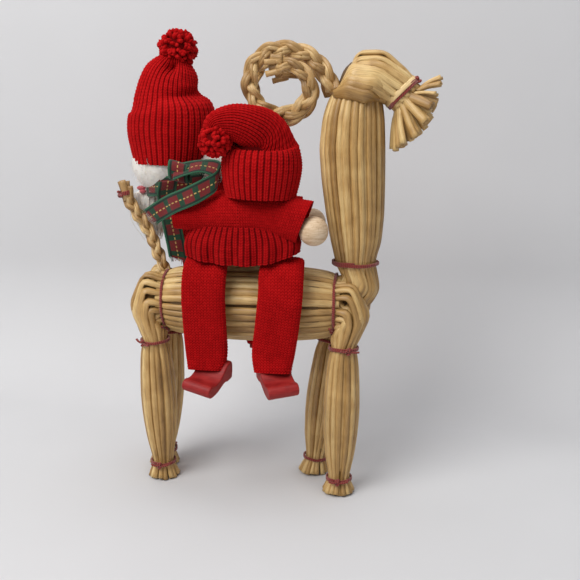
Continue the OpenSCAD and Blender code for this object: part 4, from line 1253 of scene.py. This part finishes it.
def riders():
    """Both riders, back to back across the goat's back."""
    jumper("near", -1, -12, 28.5, (-5, -15), "near_torso", 201)
    jumper("far", 1, -27, 25, (-48, 11), "far_torso", 205)
    def cuff(p):
        """The near front cuff leans: its upper edge reaches further than its lower, and its near
        edge further than its far one."""
        q = p.copy()
        lean = 0.3 * (p[..., 2] - 146) - 0.22 * (p[..., 1] + 20)
        q[..., 0] += lean * smoothstep((p[..., 0] - 2) / 20)
        return q
    mid, mid_far = [-12, -17, 149.3], [-27, 17, 149.3]
    sleeve("near_sleeve_front", [mid, [-4, -17, 149.2], [6, -17.5, 148.2], [14, -19, 146.8],
                                 [20.5, -20.5, 146]],
           [10.4, 10.6, 10.4, 10.3, 10.2], [8.6, 8.6, 8.4, 7.6, 6.4], -1, "near_arm_front",
           211, cuff)
    sleeve("near_sleeve_rear", [mid, [-20, -17, 149.2], [-29, -17, 148.6], [-38, -17.6, 147.9],
                                [-46.5, -18, 147.6]],
           [10.4, 10.0, 8.6, 7.0, 5.9], [8.6, 8.5, 8.0, 7.0, 6.2], -1, "near_arm_rear",
           212)
    sleeve("far_sleeve_front", [mid_far, [-18, 17, 149], [-8, 17.5, 148], [2, 18.5, 146.8],
                                [13, 19.8, 145.6]],
           [9.8, 9.6, 9.2, 9.0, 8.8], [8.6, 8.5, 8.3, 8.0, 7.8], 1, "far_arm_front",
           213)
    sleeve("far_sleeve_rear", [[-32, 15, 149], [-39, 16, 149], [-43, 22, 148], [-43, 32, 145.5]],
           [9.6, 9.4, 9.0, 8.4], [8.6, 8.6, 8.4, 8.0], 1, "far_arm_rear",
           214)
    bead_hand("near_bead_front", [25, -20, 141.5], "near_hand_front", "near_arm_front_body")
    bead_hand("near_bead_rear", [-40, -9.5, 148], "near_hand_rear", "near_arm_rear_body")
    bead_hand("far_bead_front", [19, 20.5, 141], "far_hand_front", "far_arm_front_body")
    bead_hand("far_bead_rear", [-43, 38, 142], "far_hand_rear", "far_arm_rear_body")
    for i, (side_name, end, x_top, x_foot, side, fine) in enumerate((
            ("near", "front", 9.1, 5.6, -1, (8, 6)), ("near", "rear", -30.5, -29.1, -1, (8, 6)),
            ("far", "front", -9, -10, 1, (6, 5)), ("far", "rear", -44, -44, 1, (6, 5)))):
        rider_leg(f"{side_name}_leg_{end}_knit", x_top, x_foot, side, f"{side_name}_leg_{end}",
                  221 + i, fine)
    clog("near_clog_front_wood", [2.8, -19.2, 65.8], [11.2, -22.8, -6.4], [13.8, 6.4, 1.2], "near_clog_front",
         "near_leg_front_body")
    clog("near_clog_rear_wood", [-24.6, -19.8, 65.4], [-6.6, -23.8, -6.0], [-14.0, 2.8, 2.6],
         "near_clog_rear", "near_leg_rear_body")
    clog("far_clog_front_wood", [-10, 25, 66.6], [1, 23, -6.4], [-14, 0.6, 0], "far_clog_front",
         "far_leg_front_body")
    clog("far_clog_rear_wood", [-44, 25, 66.6], [-1, 23, -6.4], [-14, -0.6, 0], "far_clog_rear",
         "far_leg_rear_body")
    near_hat()
    far_hat()
    far_head()
    scarf()


# --- Studio ----------------------------------------------------------------------------------


def one_sided(mat):
    """Lets a sheet be seen from its front only, so it hides nothing from a view behind it."""
    tree = mat.node_tree
    output = next(n for n in tree.nodes if n.bl_idname == "ShaderNodeOutputMaterial")
    solid = output.inputs["Surface"].links[0].from_socket
    side = tree.nodes.new("ShaderNodeNewGeometry")
    clear = tree.nodes.new("ShaderNodeBsdfTransparent")
    both = tree.nodes.new("ShaderNodeMixShader")
    tree.links.new(side.outputs["Backfacing"], both.inputs[0])
    tree.links.new(solid, both.inputs[1])
    tree.links.new(clear.outputs[0], both.inputs[2])
    tree.links.new(both.outputs[0], output.inputs["Surface"])


def studio():
    """Camera, soft lights, and one pale sheet that is the floor and curves up behind."""
    camera = bpy.data.objects.new("camera", bpy.data.cameras.new("camera"))
    bpy.context.scene.collection.objects.link(camera)
    bpy.context.scene.camera = camera
    pitch, yaw = math.radians(12.0), math.radians(9.0)
    aim = np.array([10.0, 0.0, 107.0])
    distance = 416.0 / math.cos(pitch)
    back = np.array([math.sin(yaw) * math.cos(pitch), -math.cos(yaw) * math.cos(pitch), math.sin(pitch)])
    camera.location = (aim + back * distance) * MM
    camera.rotation_euler = (math.pi / 2 - pitch, 0, yaw)
    camera.data.sensor_width = 36.0
    camera.data.lens = 36.0 * 800.0 / 580.0
    camera.data.clip_start = 0.01

    def area_light(name, place, size, power, colour=(1, 1, 1)):
        lamp = bpy.data.lights.new(name, "AREA")
        lamp.shape = "DISK"
        lamp.size = size
        lamp.energy = power
        lamp.color = colour
        holder = bpy.data.objects.new(name, lamp)
        holder.location = place
        toward = np.array([0.0, 0.0, 0.1]) - np.array(place)
        flat = math.hypot(toward[0], toward[1])
        holder.rotation_euler = (math.pi / 2 + math.atan2(toward[2], flat), 0,
                                 math.atan2(-toward[0], toward[1]))
        bpy.context.scene.collection.objects.link(holder)

    area_light("key", (-0.42, -0.62, 0.85), 0.75, 9.2, (1.0, 0.985, 0.965))
    area_light("fill", (0.8, -0.8, 0.5), 0.9, 0.9, (0.95, 0.97, 1.0))
    area_light("top", (0.1, 0.0, 1.1), 0.8, 3.6)

    world = bpy.data.worlds.new("world")
    bpy.context.scene.world = world
    world.use_nodes = True
    world.node_tree.nodes["Background"].inputs["Color"].default_value = (0.93, 0.95, 1.0, 1)
    world.node_tree.nodes["Background"].inputs["Strength"].default_value = 0.31

    # The sweep: flat in front, a quarter round of radius 90 behind, then upright.
    radius, wall_y = 90.0, 175.0
    arc = np.linspace(0, math.pi / 2, 25)
    y = np.concatenate([[-900.0], wall_y - radius + radius * np.sin(arc), [wall_y]])
    z = np.concatenate([[0.0], radius - radius * np.cos(arc), [900.0]])
    x = np.array([-1200.0, 1200.0])
    verts = np.stack([np.repeat(x, len(y)), np.tile(y, 2), np.tile(z, 2)], -1)
    i = np.arange(len(y) - 1)
    faces = np.stack([i, i + len(y), i + 1 + len(y), i + 1], -1)
    paper = plain_material("sweep", (0.62, 0.62, 0.63), 0.85)
    one_sided(paper)
    sweep = build("studio_sweep", verts, [faces], paper)
    bpy.context.scene.view_settings.view_transform = "Standard"


studio()
goat()
riders()
